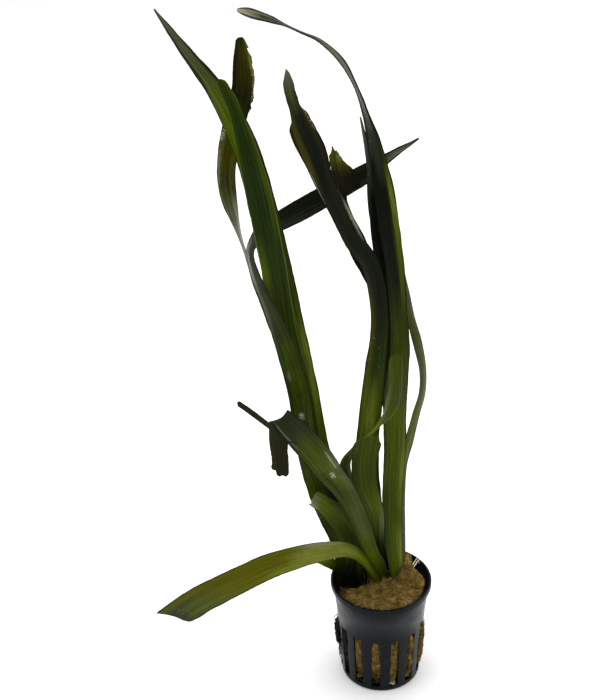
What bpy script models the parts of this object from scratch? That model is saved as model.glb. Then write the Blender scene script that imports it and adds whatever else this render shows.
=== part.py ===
"""Vallisneria in a slotted net pot, with its rock wool, crowns, leaves and roots.

Units: the sizes below are millimetres and are scaled to metres when a mesh is made.
Frame: the origin is the centre of the pot's underside, +Z is up, and the plant's front is -Y.
"""
import math

import bpy
import numpy as np

MM = 0.001
GAP = 0.3

# Net pot
POT_HEIGHT = 60.0
RIM_RADIUS = 26.0
LIP_HEIGHT = 3.0
WALL_TOP_RADIUS = 24.3
BASE_RADIUS = 21.0
WALL = 1.2
FLOOR = 1.5
EDGE = 0.8
BAND_HEIGHT = 47.5
BAND_STEP = 0.3
POT_STEPS = 56

# Slots of the pot: fourteen in the wall, seven in the floor
SLOT_COUNT = 14
SLOT_WIDTH = 4.6
SLOT_LOW = 3.0
SLOT_HIGH = 35.5
SLOT_FIRST_ANGLE = -10.2
FLOOR_SLOT_COUNT = 7
FLOOR_SLOT_WIDTH = 3.0
FLOOR_SLOT_NEAR = 8.0
FLOOR_SLOT_FAR = 17.0

# Rock wool: a mound that rises to the back right, with a dish and a pocket for the crowns
WOOL_FOOT_RADIUS = 15.0
WOOL_FOOT_SPREAD = 0.5
WOOL_CLEARANCE = 0.4
WOOL_FRONT_TOP = 57.0
WOOL_RISE = 3.5
WOOL_BUMP = 0.5
WOOL_EDGE_DROP = 1.5
WOOL_SHOULDER = -0.78
DISH_NEAR, DISH_FAR = 10.0, 13.0
POCKET_NEAR, POCKET_FAR = 9.6, 11.2
HOLLOW_DEPTH = 2.6
HOLLOW_BEARING = 45.0
HOLLOW_SPREAD = 28.0
HOLLOW_LOW = 44.0

# Lobes of the wool that bulge into the slots; the black roots fill one slot instead
LOBE_WIDTH = 3.8
LOBE_LOW = 13.0
LOBE_HIGH = 34.5
LOBE_INNER_RADIUS = 17.0
LOBE_SETBACK = 0.1
TUFT_SLOT = 11

# Crowns, where the leaves start: centre x, centre y, half width, half depth, foot, top
CROWN_LEFT = (-14.0, 4.5, 7.5, 6.5, 50.0, 53.7)
CROWN_CENTRE = (4.0, 5.0, 8.5, 8.5, 58.0, 59.7)

# Leaves
LEAF_THICKNESS = 0.7
LEAF_CUP = 0.08
LEAF_BASE = 9.0
FRONT = (0.0, -0.864, 0.503)

# Each leaf's route runs from its base to its tip: x, y, z, width, and the angle in degrees
# by which the blade is turned about its own length away from the plant's front.
LEAVES = {
    "leaf_tall": (
        (-11, 6, 54.2, 8, 0), (-12, 6, 61, 9, 0), (-17, 4, 82, 10, 0), (-24, 4, 111, 11, 0),
        (-32, 4, 142, 12, 0), (-37, 4, 177, 12, 0), (-43, 2, 214, 12, 0), (-48, -1, 246, 12, 0),
        (-54, 1, 276, 12, 0), (-60, 7, 298, 11.5, 0), (-67, 13, 313, 10, 0), (-74, 18, 324, 8, 0),
        (-86, 24, 339, 5, 0), (-98, 30, 355, 0.8, 0)),
    "leaf_broad": (
        (-13, 4, 54.2, 8, 0), (-14, 4, 61, 9, 0), (-21, 1, 85, 10, 0), (-28, -1, 115, 11, 0),
        (-35, -3, 147, 11.5, 0), (-40, -5, 183, 11.5, 0), (-46, -7, 214, 11.5, 0),
        (-50, -8.5, 250, 11.5, 0), (-55, -9, 283, 11.2, 0), (-59, -9, 302, 10.5, 0),
        (-67, -7, 326, 8.5, 0), (-70, -6, 333, 7, 0)),
    "leaf_brown": (
        (-15.5, 8.5, 54.2, 7, 0), (-16.5, 8.5, 61, 7.5, 0), (-22, 8, 81, 9, 10),
        (-31, 8, 112, 9, 20), (-37, 8, 143, 9, 20), (-41, 9, 171, 9, 20), (-47, 10, 196, 8, 30),
        (-54, 12, 216, 7, 50), (-59, 14, 230, 7, 62), (-64, 17, 245, 7, 80), (-67, 20, 256, 7, 60),
        (-70, 23, 270, 8.5, 20), (-70, 25, 284, 8.5, 0), (-67, 28, 299, 9.5, 0),
        (-61, 30, 317, 10, 0), (-61, 33, 340, 4.5, 0)),
    "leaf_crossing": (
        (-15, 2, 54.2, 8, 0), (-17, 2, 61, 9, 0), (-21, -2, 87, 10, 0), (-31, -5, 118, 10.5, 0),
        (-37, -8, 150, 10.5, 0), (-40, -10, 180, 10, 0), (-45, -12, 206, 9.5, 10),
        (-50, -13, 223, 7.5, 25), (-54, -12, 234, 6, 35), (-58, -7, 243, 5, 40),
        (-60, 0, 249, 4.5, 45), (-59, 8, 251, 6, 30), (-54, 17, 254, 8, 20), (-45, 24, 256, 9, 0),
        (-32, 30, 260, 9, 0), (-8, 35, 271, 8.5, 0), (3, 37, 278, 6, 0), (19, 39, 288, 0.8, 0)),
    "leaf_cut": (
        (-13, 0, 54.2, 7, 0), (-14, -1, 61, 8, 0), (-15, -4, 81, 9, 0), (-19, -7, 97, 10.5, 0),
        (-25, -10, 111, 10.5, 0), (-30, -12, 118, 9, 0), (-35, -13, 123, 8, 0)),
    "leaf_stub": (
        (-19, 5.2, 54.2, 3.4, 0), (-19.6, 5, 60, 4, 0), (-23, 4.8, 65, 4.6, 0), (-28, 5, 68, 4.6, 0),
        (-35, 5.5, 71, 4.5, 0), (-42, 5, 73, 3, 0)),
    "leaf_drooping": (
        (-3, -3, 60, 6, 0), (-5, -4.5, 68, 7, 0), (-8, -10, 80, 7.5, 0), (-13, -14, 89, 8, 0),
        (-20, -17, 93, 8, 0), (-29, -20, 95, 9, 0), (-42, -23, 94, 10, 0), (-58, -26, 91, 11, 0),
        (-74, -29, 85, 11.5, 0), (-92, -32, 78, 12, 0), (-106, -34, 71, 12, 0),
        (-112, -35, 68, 11, 0)),
    "leaf_folded": (
        (0, -0.5, 60, 7, 0), (-1, -1, 68, 8, 0), (-6, -6, 82, 9, 0), (-11, -12, 105, 9.5, 0),
        (-19, -18, 129, 11, 0), (-26, -22, 143, 12.5, 0), (-32, -26, 156, 13.2, 0),
        (-39, -29, 168, 13.2, 0), (-45, -31, 177, 12, 0), (-49, -30, 181, 10, 0),
        (-50, -27, 177, 9, 0), (-50, -26, 165, 9, 0), (-50, -26, 148, 8.5, 0)),
    "leaf_blunt": (
        (-0.5, 3, 60, 6, 0), (-1.2, 2.6, 67, 6.5, 0), (-1.8, 1.4, 80, 7, 0), (-3, -1, 102, 9, 0),
        (-8, -4, 122, 12, 0), (-9, -7, 139, 12.5, 0), (-7, -9, 153, 14, 0)),
    "leaf_twisting": (
        (0, 5, 60, 6, 0), (-1, 5, 67, 6, 0), (-5, 3.5, 79, 7, 0), (-11, 2, 102, 7, 0),
        (-16, 2, 117, 6.5, 0), (-18, 1, 131, 6, 20), (-14, 0, 141, 5, 60), (-6, -1, 151, 4.5, 80),
        (-1, -3, 159, 5, 70), (3, -5, 167, 7, 40), (6, -7, 179, 8, 0), (6, -7, 197, 8, 0)),
    "leaf_torn_dark": (
        (1, 7, 60, 8, 0), (0, 7, 67, 8, 0), (-2, 7.5, 86, 9, 0), (-6, 7.5, 112, 10, 0),
        (-7, 7, 136, 11, 0), (-5, 7, 160, 11, 0), (-3, 7, 183, 10, 0), (-1, 6, 205, 8.5, 0),
        (-2, 3, 225, 8.5, 0), (-6, 0, 244, 8.5, 0), (-15, -3, 261, 8.2, 0), (-22, -6, 281, 8.2, 0),
        (-28, -9, 298, 10, 0), (-35, -12, 315, 9.5, 0), (-38, -15, 327, 5, 0),
        (-41, -17, 339, 3, 0)),
    "leaf_torn_brown": (
        (3, 11.5, 60, 8, 0), (2, 12, 67, 8, 0), (0, 13, 81, 9, 0), (0, 14, 119, 9.5, 0),
        (1, 16, 160, 9.5, 0), (2, 18, 199, 9.5, 0), (0, 18, 218, 9.5, 0), (-5, 18, 232, 9.5, 0),
        (-12, 18, 248, 9.5, 0), (-17, 18, 277, 9.5, 0), (-19, 18, 288, 7, 0)),
    "leaf_arching": (
        (8.5, 2.5, 60, 8, -35), (8, 3.5, 67, 9, -25), (6.5, 5, 84, 10, -10), (6, 5.5, 109, 10.5, 0),
        (7, 6.5, 136, 11, 0), (7, 8, 165, 11.5, 0), (9, 8, 193, 9.5, 0), (8, 8, 215, 8.5, 0),
        (6, 8, 239, 9, 0), (3, 9, 261, 9.5, 0), (0, 11, 280, 8.5, 0), (-3, 13, 296, 6.5, 0),
        (-7, 16, 310, 3, 0), (-11, 19, 321, 3, 50), (-17, 22, 332, 4, 50), (-26, 25, 340, 4.5, 60),
        (-36, 28, 344, 4, 75), (-46, 31, 348, 3.6, 0), (-56, 33, 351, 3.2, 0),
        (-62, 35, 352, 0.8, 0)),
    "leaf_narrow": (
        (3, 9.3, 60, 7, 0), (3, 10, 67, 8, 0), (2, 11, 83, 8, 0), (2, 12, 114, 8, 0),
        (2, 12, 156, 8, 0), (3, 13, 212, 8, 0), (1, 13, 234, 7.5, 0), (-1, 14, 251, 7, 0),
        (-3, 17, 268, 6, 0), (-5, 19, 286, 3.5, 0), (-9, 22, 306, 0.8, 0)),
    "leaf_bowed": (
        (10, 9, 60, 5, 0), (11, 10, 67, 5, 20), (11, 12, 82, 6, 40), (11, 13, 104, 7, 60),
        (12, 14, 122, 7, 65), (15, 15, 136, 7, 65), (18, 16, 150, 7, 70), (21, 17, 163, 7, 70),
        (21, 18, 176, 7, 68), (18, 18, 192, 7, 55), (14, 18, 209, 7, 60), (8, 18, 241, 7, 65),
        (6, 18, 259, 7, 60), (4, 18, 274, 6, 60), (1, 18, 288, 3, 60)),
}
FOLDED_OVER = (0.9, 0.2, 0.35)
FOLDED_STRIP = (
    (-42, -29.2, 166, 1.6, 0), (-47, -31, 171, 2.4, 0), (-54, -33, 178.5, 2.6, 0),
    (-61, -34, 186, 2.6, 0), (-68, -35, 193, 2.4, 0))

# White roots that cross the rim at the back right, and their thickness
ROOT_DIAMETER = 0.8
ROOTS = {
    "root_long": (
        (15, 12, 61.5), (17, 13.5, 62.5), (18.8, 14.6, 62.8), (20.4, 15.7, 61.6),
        (21.6, 16.4, 59.2), (22, 16.6, 56.5)),
    "root_short": (
        (19, 7, 61.2), (20.8, 7.6, 62.4), (22.6, 8.2, 62.6), (24.3, 8.8, 61.8), (26.2, 9.4, 60.9)),
}

# Tuft of black roots that fills the slot on the pot's left
TUFT_SIZE = (3.7, 4.2, 23.0)
TUFT_RADIUS = 23.5
TUFT_HEIGHT = 23.0
TUFT_RIPPLE = 0.12


def clear_scene():
    for thing in list(bpy.data.objects):
        bpy.data.objects.remove(thing)


def collection(name):
    group = bpy.data.collections.new(name)
    bpy.context.scene.collection.children.link(group)
    return group


def material(name, colour, roughness):
    finish = bpy.data.materials.new(name)
    finish.use_nodes = True
    shader = finish.node_tree.nodes["Principled BSDF"]
    shader.inputs["Base Color"].default_value = (*colour, 1.0)
    shader.inputs["Roughness"].default_value = roughness
    shader.inputs["Metallic"].default_value = 0.0
    return finish


def adopt(thing, name, group, finish=None):
    """Name an object, move it to its collection and give it its material."""
    thing.name = name
    for home in list(thing.users_collection):
        home.objects.unlink(thing)
    group.objects.link(thing)
    if finish:
        thing.data.materials.clear()
        thing.data.materials.append(finish)
    return thing


def read_points(mesh):
    flat = np.empty(len(mesh.vertices) * 3)
    mesh.vertices.foreach_get("co", flat)
    return flat.reshape(-1, 3)


def write_points(mesh, points):
    mesh.vertices.foreach_set("co", np.ascontiguousarray(points).ravel())
    mesh.update()


def smoothstep(low, high, value):
    t = np.clip((value - low) / (high - low), 0.0, 1.0)
    return t * t * (3 - 2 * t)


def unit(vectors):
    return vectors / np.linalg.norm(vectors, axis=-1, keepdims=True)


def smooth_rows(rows, where):
    """Read a smooth curve through the rows at the places given, counted in rows."""
    rows = np.asarray(rows, float)
    last = len(rows) - 1
    near = np.clip(np.floor(where).astype(int), 0, last - 1)
    t = (where - near)[:, None]
    p1, p2 = rows[near], rows[near + 1]
    p0 = np.where((near == 0)[:, None], 2 * p1 - p2, rows[np.maximum(near - 1, 0)])
    p3 = np.where((near == last - 1)[:, None], 2 * p2 - p1, rows[np.minimum(near + 2, last)])
    return 0.5 * (2 * p1 + (p2 - p0) * t + (2 * p0 - 5 * p1 + 4 * p2 - p3) * t ** 2
                  + (3 * p1 - p0 - 3 * p2 + p3) * t ** 3)


def wall_radius(z):
    """Outer radius of the pot's wall at a height."""
    return BASE_RADIUS + (WALL_TOP_RADIUS - BASE_RADIUS) * z / (POT_HEIGHT - LIP_HEIGHT)


def around(radius, angle):
    """A place at an angle in degrees from the front, positive towards +X."""
    turn = math.radians(angle)
    return radius * math.sin(turn), -radius * math.cos(turn)


def slot_angle(index):
    return SLOT_FIRST_ANGLE + index * 360.0 / SLOT_COUNT


def blade_points(rows, across, along, sideways=None, round_tip=False, slant=0.0):
    """Turn grid places (-1..1 across, 0..1 along) into points on a leaf's blade."""
    steps = np.linspace(0.0, 1.0, 201)
    curve = smooth_rows(rows, steps * (len(rows) - 1))
    lengths = np.r_[0.0, np.cumsum(np.linalg.norm(np.diff(curve[:, :3], axis=0), axis=1))]
    total = lengths[-1]
    reach = along * total + slant * across * smoothstep(0.85, 1.0, along)
    place = np.interp(reach, lengths, steps) * (len(rows) - 1)
    here = smooth_rows(rows, place)
    ahead = smooth_rows(rows, np.minimum(place + 0.02, len(rows) - 1))
    behind = smooth_rows(rows, np.maximum(place - 0.02, 0.0))
    tangent = unit(ahead[:, :3] - behind[:, :3])
    if sideways is None:
        side = unit(np.cross(tangent, FRONT))
    else:
        sideways = np.asarray(sideways, float)
        side = unit(sideways - (tangent @ sideways)[:, None] * tangent)
    face = np.cross(side, tangent)
    turn = np.radians(here[:, 4:5])
    side = side * np.cos(turn) + face * np.sin(turn)
    level = smoothstep(0.0, LEAF_BASE, reach)[:, None]
    side = unit(side * np.hstack([np.ones_like(level), np.ones_like(level), level]))
    face = unit(np.cross(side, tangent))
    half = here[:, 3:4] / 2
    if round_tip:
        left = np.clip((total - reach) / (0.75 * here[:, 3]), 0.02, 1.0)
        half = half * np.sqrt(1 - (1 - left[:, None]) ** 2)
    cup = LEAF_CUP * 2 * half * (1 - across[:, None] ** 2)
    return here[:, :3] + side * half * across[:, None] - face * cup


def leaf(name, rows, group, finish, **shape):
    """One strap leaf: a grid bent along its route, thickened by Solidify."""
    bpy.ops.mesh.primitive_grid_add(x_subdivisions=2, y_subdivisions=2 * len(rows), size=2)
    blade = adopt(bpy.context.object, name, group, finish)
    grid = read_points(blade.data)
    write_points(blade.data, MM * blade_points(rows, grid[:, 0], (grid[:, 1] + 1) / 2, **shape))
    thick = blade.modifiers.new("thickness", "SOLIDIFY")
    thick.thickness = LEAF_THICKNESS * MM
    thick.offset = 0.0
    blade.data.shade_smooth()
    return blade


def make_leaves(group, helpers):
    deep = material("leaf_deep_green", (0.10, 0.14, 0.06), 0.35)
    fresh = material("leaf_fresh_green", (0.22, 0.28, 0.08), 0.35)
    olive = material("leaf_olive", (0.28, 0.30, 0.10), 0.4)
    brown = material("leaf_old_brown", (0.20, 0.17, 0.07), 0.5)
    dark = material("leaf_black_green", (0.06, 0.08, 0.05), 0.35)
    finishes = {
        "leaf_broad": deep, "leaf_folded": deep, "leaf_brown": brown, "leaf_torn_brown": brown,
        "leaf_crossing": dark, "leaf_torn_dark": dark, "leaf_arching": dark, "leaf_narrow": dark,
        "leaf_stub": olive, "leaf_drooping": olive, "leaf_blunt": olive}
    shapes = {
        "leaf_broad": {"round_tip": True}, "leaf_twisting": {"round_tip": True},
        "leaf_cut": {"slant": 2.0}, "leaf_drooping": {"slant": 4.0},
        "leaf_folded": {"sideways": FOLDED_OVER}}
    for name, rows in LEAVES.items():
        leaf(name, rows, group, finishes.get(name, fresh), **shapes.get(name, {}))
    # The folded leaf is split along one edge, and the strip runs straight on past the fold.
    strip = leaf("split_strip", FOLDED_STRIP, helpers, deep)
    join = group.objects["leaf_folded"].modifiers.new("strip", "BOOLEAN")
    join.operation = "UNION"
    join.object = strip
    hide_tools(helpers)


def turned(name, profile, group, finish, steps):
    """A closed profile of (radius, height) points, turned about Z by a Screw modifier."""
    mesh = bpy.data.meshes.new(name)
    count = len(profile)
    points = [(radius * MM, 0.0, height * MM) for radius, height in profile]
    mesh.from_pydata(points, [(i, i + 1) for i in range(count - 1)], [])
    thing = bpy.data.objects.new(name, mesh)
    group.objects.link(thing)
    mesh.materials.append(finish)
    spin = thing.modifiers.new("turn", "SCREW")
    spin.steps = steps
    spin.render_steps = steps
    spin.use_merge_vertices = True
    spin.merge_threshold = 0.00001
    return thing


def slot_cutters(group):
    """Boxes for the wall's slots and the floor's slots, all clear of each other."""
    middle = (SLOT_LOW + SLOT_HIGH) / 2
    for index in range(SLOT_COUNT):
        angle = slot_angle(index)
        x, y = around(wall_radius(middle) - WALL / 2, angle)
        bpy.ops.mesh.primitive_cube_add(size=MM, location=(x * MM, y * MM, middle * MM),
                                        rotation=(0, 0, math.radians(angle)))
        cutter = adopt(bpy.context.object, f"slot_{index + 1}", group)
        cutter.scale = (SLOT_WIDTH, 5.0, SLOT_HIGH - SLOT_LOW)
    for index in range(FLOOR_SLOT_COUNT):
        angle = index * 360.0 / FLOOR_SLOT_COUNT
        x, y = around((FLOOR_SLOT_NEAR + FLOOR_SLOT_FAR) / 2, angle)
        bpy.ops.mesh.primitive_cube_add(size=MM, location=(x * MM, y * MM, FLOOR / 2 * MM),
                                        rotation=(0, 0, math.radians(angle)))
        cutter = adopt(bpy.context.object, f"floor_slot_{index + 1}", group)
        cutter.scale = (FLOOR_SLOT_WIDTH, FLOOR_SLOT_FAR - FLOOR_SLOT_NEAR, 3 * FLOOR)
    hide_tools(group)


def hide_tools(group):
    for tool in group.objects:
        tool.hide_render = True
        tool.display_type = "WIRE"
        with_scale(tool)


def with_scale(thing):
    """Apply an object's scale to its mesh."""
    points = read_points(thing.data) * np.array(thing.scale)
    write_points(thing.data, points)
    thing.scale = (1.0, 1.0, 1.0)


def make_pot(group, cutters):
    """The net pot: lip, upper band, slotted wall and slotted floor in one turned shell."""
    plastic = material("pot_plastic", (0.035, 0.045, 0.055), 0.35)
    wall_top = POT_HEIGHT - LIP_HEIGHT
    band_foot = BAND_HEIGHT - EDGE / 2
    inner = WALL_TOP_RADIUS - WALL
    outside = [
        (RIM_RADIUS - EDGE / 2, POT_HEIGHT), (RIM_RADIUS, POT_HEIGHT - EDGE / 2),
        (RIM_RADIUS, wall_top + EDGE / 4), (RIM_RADIUS - EDGE / 4, wall_top),
        (WALL_TOP_RADIUS, wall_top), (wall_radius(BAND_HEIGHT), BAND_HEIGHT),
        (wall_radius(BAND_HEIGHT) - BAND_STEP, band_foot), (wall_radius(EDGE) - BAND_STEP, EDGE),
        (BASE_RADIUS - BAND_STEP - EDGE, 0.0), (0.0, 0.0)]
    inside = [
        (0.0, FLOOR), (wall_radius(FLOOR) - BAND_STEP - WALL, FLOOR),
        (wall_radius(BAND_HEIGHT) - BAND_STEP - WALL, band_foot), (inner, wall_top),
        (inner, POT_HEIGHT - EDGE / 2), (inner + EDGE / 2, POT_HEIGHT)]
    pot = turned("net_pot", inside[-1:] + outside + inside, group, plastic, POT_STEPS)
    cut = pot.modifiers.new("slots", "BOOLEAN")
    cut.operation = "DIFFERENCE"
    cut.operand_type = "COLLECTION"
    cut.collection = cutters


def wool_top(x, y):
    """Height of the wool's upper face."""
    height = WOOL_FRONT_TOP + WOOL_RISE * smoothstep(-12.0, 14.0, 0.6 * x + 0.8 * y)
    height += WOOL_BUMP * np.sin(0.9 * x + 0.4 * y) * np.cos(0.7 * y - 0.3 * x)
    dish = smoothstep(DISH_NEAR, DISH_FAR, np.hypot(x - CROWN_CENTRE[0], y - CROWN_CENTRE[1]))
    height += (CROWN_CENTRE[4] - GAP - height) * (1 - dish)
    pocket = smoothstep(POCKET_NEAR, POCKET_FAR, np.hypot(x - CROWN_LEFT[0], 1.1 * (y - CROWN_LEFT[1])))
    open_back = smoothstep(-7.0, -11.0, x) * smoothstep(0.0, 3.0, y)
    height += (CROWN_LEFT[4] - GAP - height) * (1 - np.minimum(pocket, 1 - open_back))
    return height


def wool_radius(z, bearing):
    """Plan radius of the wool, drawn in at the foot and at the upper right of the back."""
    wall = wall_radius(z) - BAND_STEP - WALL - WOOL_CLEARANCE
    foot = WOOL_FOOT_RADIUS + WOOL_FOOT_SPREAD * (z - FLOOR - GAP)
    away = (np.degrees(bearing) - HOLLOW_BEARING) / HOLLOW_SPREAD
    hollow = HOLLOW_DEPTH * np.exp(-away ** 2) * smoothstep(HOLLOW_LOW, HOLLOW_LOW + 6, z)
    return np.minimum(wall, foot) - hollow


def wool_points(ball):
    """Move the points of a unit ball to the wool: below the shoulder its foot, then its side and top."""
    bearing = np.arctan2(ball[:, 1], ball[:, 0])
    level = 2 * np.arcsin(np.clip(ball[:, 2], -1, 1)) / math.pi
    foot = FLOOR + GAP
    upper = level > -0.001
    lower = level < WOOL_SHOULDER
    inset = BASE_RADIUS - 1
    rim_z = wool_top(inset * np.cos(bearing), inset * np.sin(bearing)) - WOOL_EDGE_DROP
    side_z = foot + (rim_z - foot) * np.clip(1 - level / WOOL_SHOULDER, 0, 1)
    radius = wool_radius(side_z, bearing)
    radius = np.where(upper, radius * (1 - np.clip(level, 0, 1)), radius)
    radius = np.where(lower, radius * (level + 1) / (WOOL_SHOULDER + 1), radius)
    x, y = radius * np.cos(bearing), radius * np.sin(bearing)
    top_z = wool_top(x, y) - WOOL_EDGE_DROP * np.clip(1 - level, 0, 1) ** 8
    z = np.where(upper, np.where(level > 0.001, top_z, rim_z), np.where(lower, foot, side_z))
    return np.stack([x, y, z], -1)


def wool_lobes(group):
    """One block of wool behind each slot, leaning with the wall."""
    middle = (LOBE_LOW + LOBE_HIGH) / 2
    outer = wall_radius(middle) - LOBE_SETBACK
    lean = math.atan((WALL_TOP_RADIUS - BASE_RADIUS) / (POT_HEIGHT - LIP_HEIGHT))
    for index in range(SLOT_COUNT):
        if index == TUFT_SLOT:
            continue
        angle = slot_angle(index)
        x, y = around((LOBE_INNER_RADIUS + outer) / 2, angle)
        bpy.ops.mesh.primitive_cube_add(size=MM, location=(x * MM, y * MM, middle * MM),
                                        rotation=(lean, 0, math.radians(angle)))
        lobe = adopt(bpy.context.object, f"lobe_{index + 1}", group)
        lobe.scale = (LOBE_WIDTH, outer - LOBE_INNER_RADIUS, LOBE_HIGH - LOBE_LOW)
    hide_tools(group)


def make_wool(group, lobes):
    golden = material("rock_wool", (0.36, 0.26, 0.10), 0.9)
    bpy.ops.mesh.primitive_uv_sphere_add(segments=36, ring_count=20, radius=1)
    wool = adopt(bpy.context.object, "rock_wool", group, golden)
    write_points(wool.data, MM * wool_points(read_points(wool.data)))
    join = wool.modifiers.new("lobes", "BOOLEAN")
    join.operation = "UNION"
    join.operand_type = "COLLECTION"
    join.collection = lobes


def make_crown(name, place, group, finish):
    """The short rootstock that a tuft of leaves grows from."""
    x, y, half_width, half_depth, foot, top = place
    bpy.ops.mesh.primitive_cylinder_add(vertices=20, radius=MM, depth=(top - foot) * MM,
                                        location=(x * MM, y * MM, (foot + top) / 2 * MM))
    crown = adopt(bpy.context.object, name, group, finish)
    crown.scale = (half_width, half_depth, 1.0)
    with_scale(crown)
    edge = crown.modifiers.new("edge", "BEVEL")
    edge.width = 0.5 * MM
    edge.segments = 1


def make_roots(group):
    pale = material("root_white", (0.75, 0.72, 0.62), 0.5)
    for name, route in ROOTS.items():
        line = bpy.data.curves.new(name, "CURVE")
        line.dimensions = "3D"
        line.bevel_depth = ROOT_DIAMETER / 2 * MM
        line.bevel_resolution = 2
        line.use_fill_caps = True
        spline = line.splines.new("POLY")
        padded = np.array([(*point, 0, 0) for point in route], float)
        points = smooth_rows(padded, np.linspace(0, len(route) - 1, 11))[:, :3]
        spline.points.add(len(points) - 1)
        for target, (x, y, z) in zip(spline.points, points):
            target.co = (x * MM, y * MM, z * MM, 1)
        root = bpy.data.objects.new(name, line)
        line.materials.append(pale)
        group.objects.link(root)


def make_tuft(group):
    """The black roots in one slot, as one slim lump with a rippled face."""
    black = material("root_black", (0.04, 0.035, 0.03), 0.8)
    bpy.ops.mesh.primitive_uv_sphere_add(segments=16, ring_count=12, radius=0.5)
    tuft = adopt(bpy.context.object, "root_tuft", group, black)
    ball = read_points(tuft.data)
    ripple = 1 + TUFT_RIPPLE * np.sin(18 * ball[:, 2]) * (1 - 4 * ball[:, 2] ** 2)
    ball[:, 1] *= ripple
    write_points(tuft.data, MM * ball * np.array(TUFT_SIZE))
    angle = slot_angle(TUFT_SLOT)
    x, y = around(TUFT_RADIUS, angle)
    tuft.location = (x * MM, y * MM, TUFT_HEIGHT * MM)
    tuft.rotation_euler = (0, 0, math.radians(angle))


def main():
    clear_scene()
    plant = collection("potted_vallisneria")
    cutters = collection("slot_cutters")
    lobes = collection("wool_lobes")
    helpers = collection("leaf_strips")
    slot_cutters(cutters)
    make_pot(plant, cutters)
    wool_lobes(lobes)
    make_wool(plant, lobes)
    flesh = material("crown_flesh", (0.30, 0.30, 0.14), 0.5)
    bark = material("crown_dark", (0.10, 0.08, 0.04), 0.7)
    make_crown("crown_left", CROWN_LEFT, plant, bark)
    make_crown("crown_centre", CROWN_CENTRE, plant, flesh)
    make_leaves(plant, helpers)
    make_roots(plant)
    make_tuft(plant)


main()
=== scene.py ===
"""Looks of a potted vallisneria: strap leaves, crowns and roots, rock wool and a slotted net pot.

Tables are in millimetres, and meshes are made in metres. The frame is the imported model's own: the
origin is the centre of the pot's underside, +Z is up, and the plant's front is -Y.
"""
import math

import bpy
import numpy as np
from mathutils import Matrix, Vector, noise


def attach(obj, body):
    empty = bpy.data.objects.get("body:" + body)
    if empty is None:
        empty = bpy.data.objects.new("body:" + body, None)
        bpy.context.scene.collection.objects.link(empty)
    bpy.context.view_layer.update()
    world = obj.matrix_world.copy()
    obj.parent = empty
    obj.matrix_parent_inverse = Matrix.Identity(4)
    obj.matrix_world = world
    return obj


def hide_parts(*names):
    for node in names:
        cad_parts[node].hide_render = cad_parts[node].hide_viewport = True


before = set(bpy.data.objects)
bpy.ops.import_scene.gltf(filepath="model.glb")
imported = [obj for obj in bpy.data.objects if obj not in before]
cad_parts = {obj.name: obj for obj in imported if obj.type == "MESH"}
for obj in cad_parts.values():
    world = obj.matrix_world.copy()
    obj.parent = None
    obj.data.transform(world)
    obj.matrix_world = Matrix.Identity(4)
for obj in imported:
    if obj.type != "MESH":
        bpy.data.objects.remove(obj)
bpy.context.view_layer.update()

MM = 0.001

# Camera: where it looks, how far away it stands, and how it is held
LOOK_AT = (-38.9, 0.0, 199.2)
CAMERA_DISTANCE = 650.0
CAMERA_PITCH = 30.2
CAMERA_ROLL = -1.64
CAMERA_LENS = 70.8
FILM_HEIGHT = 36.0

# Strength of the room's light, from the camera's side and from behind the plant
ROOM_FRONT = 0.3
ROOM_BACK = 0.8

# Net pot
POT_HEIGHT = 60.0
RIM_RADIUS = 26.3
LIP_HEIGHT = 3.0
WALL_TOP_RADIUS = 24.6
BASE_RADIUS = 21.0
WALL = 1.2
FLOOR = 1.5
EDGE = 0.8
BAND_HEIGHT = 47.5
BAND_STEP = 0.3
SLOT_COUNT = 14
SLOT_WIDTH = 4.6
SLOT_LOW = 3.0
SLOT_HIGH = 35.5
SLOT_FIRST_ANGLE = -10.2
FLOOR_SLOT_COUNT = 7
FLOOR_SLOT_WIDTH = 3.0
FLOOR_SLOT_NEAR = 8.0
FLOOR_SLOT_FAR = 17.0
HUB_RADIUS = 4.0
SOFTENED_EDGE = 0.22

# Rock wool
GAP = 0.3
WOOL_FOOT_RADIUS = 15.0
WOOL_FOOT_SPREAD = 0.5
WOOL_FRONT_TOP = 58.0
WOOL_RISE = 2.8
WOOL_EDGE_DROP = 1.5
WOOL_SHOULDER = -0.78
PILE_HEIGHT = 3.0
PILE_BEARING = 42.0
PILE_SPREAD = 40.0
HOLLOW_DEPTH = 4.6
HOLLOW_BEARING = 20.0
HOLLOW_SPREAD = 17.0

# Dish round the middle crown: centre x and y, and the radii between which it rises
DISH = (2.5, 4.5, 6.0, 8.6)

# Sunken place on the left: centre x and y, its reach in x and y, and its depth
VOID = (-22.5, -3.5, 3.4, 6.5)
VOID_DEPTH = 7.0

# Wool in the slots, and loose fibres
LOBE_INNER_RADIUS = 17.5
LOBE_ROUNDING = 0.35
FIBRE_LEVEL = 55.0
TOP_FIBRES = 3450
FIBRES_PER_SLOT = 64
FIBRE_TAPER = (0.6, 1.0, 1.0, 0.9, 0.4)
TUFT_TAPER = (0.6, 1.0, 1.0, 1.0, 0.8, 0.4)

# Crowns: centre x, centre y, half width, half depth, foot, top
CROWN_LEFT = (-14.0, 4.5, 7.5, 6.5, 50.0, 53.7)
CROWN_CENTRE = (4.0, 5.0, 8.5, 8.5, 58.0, 59.7)

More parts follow.
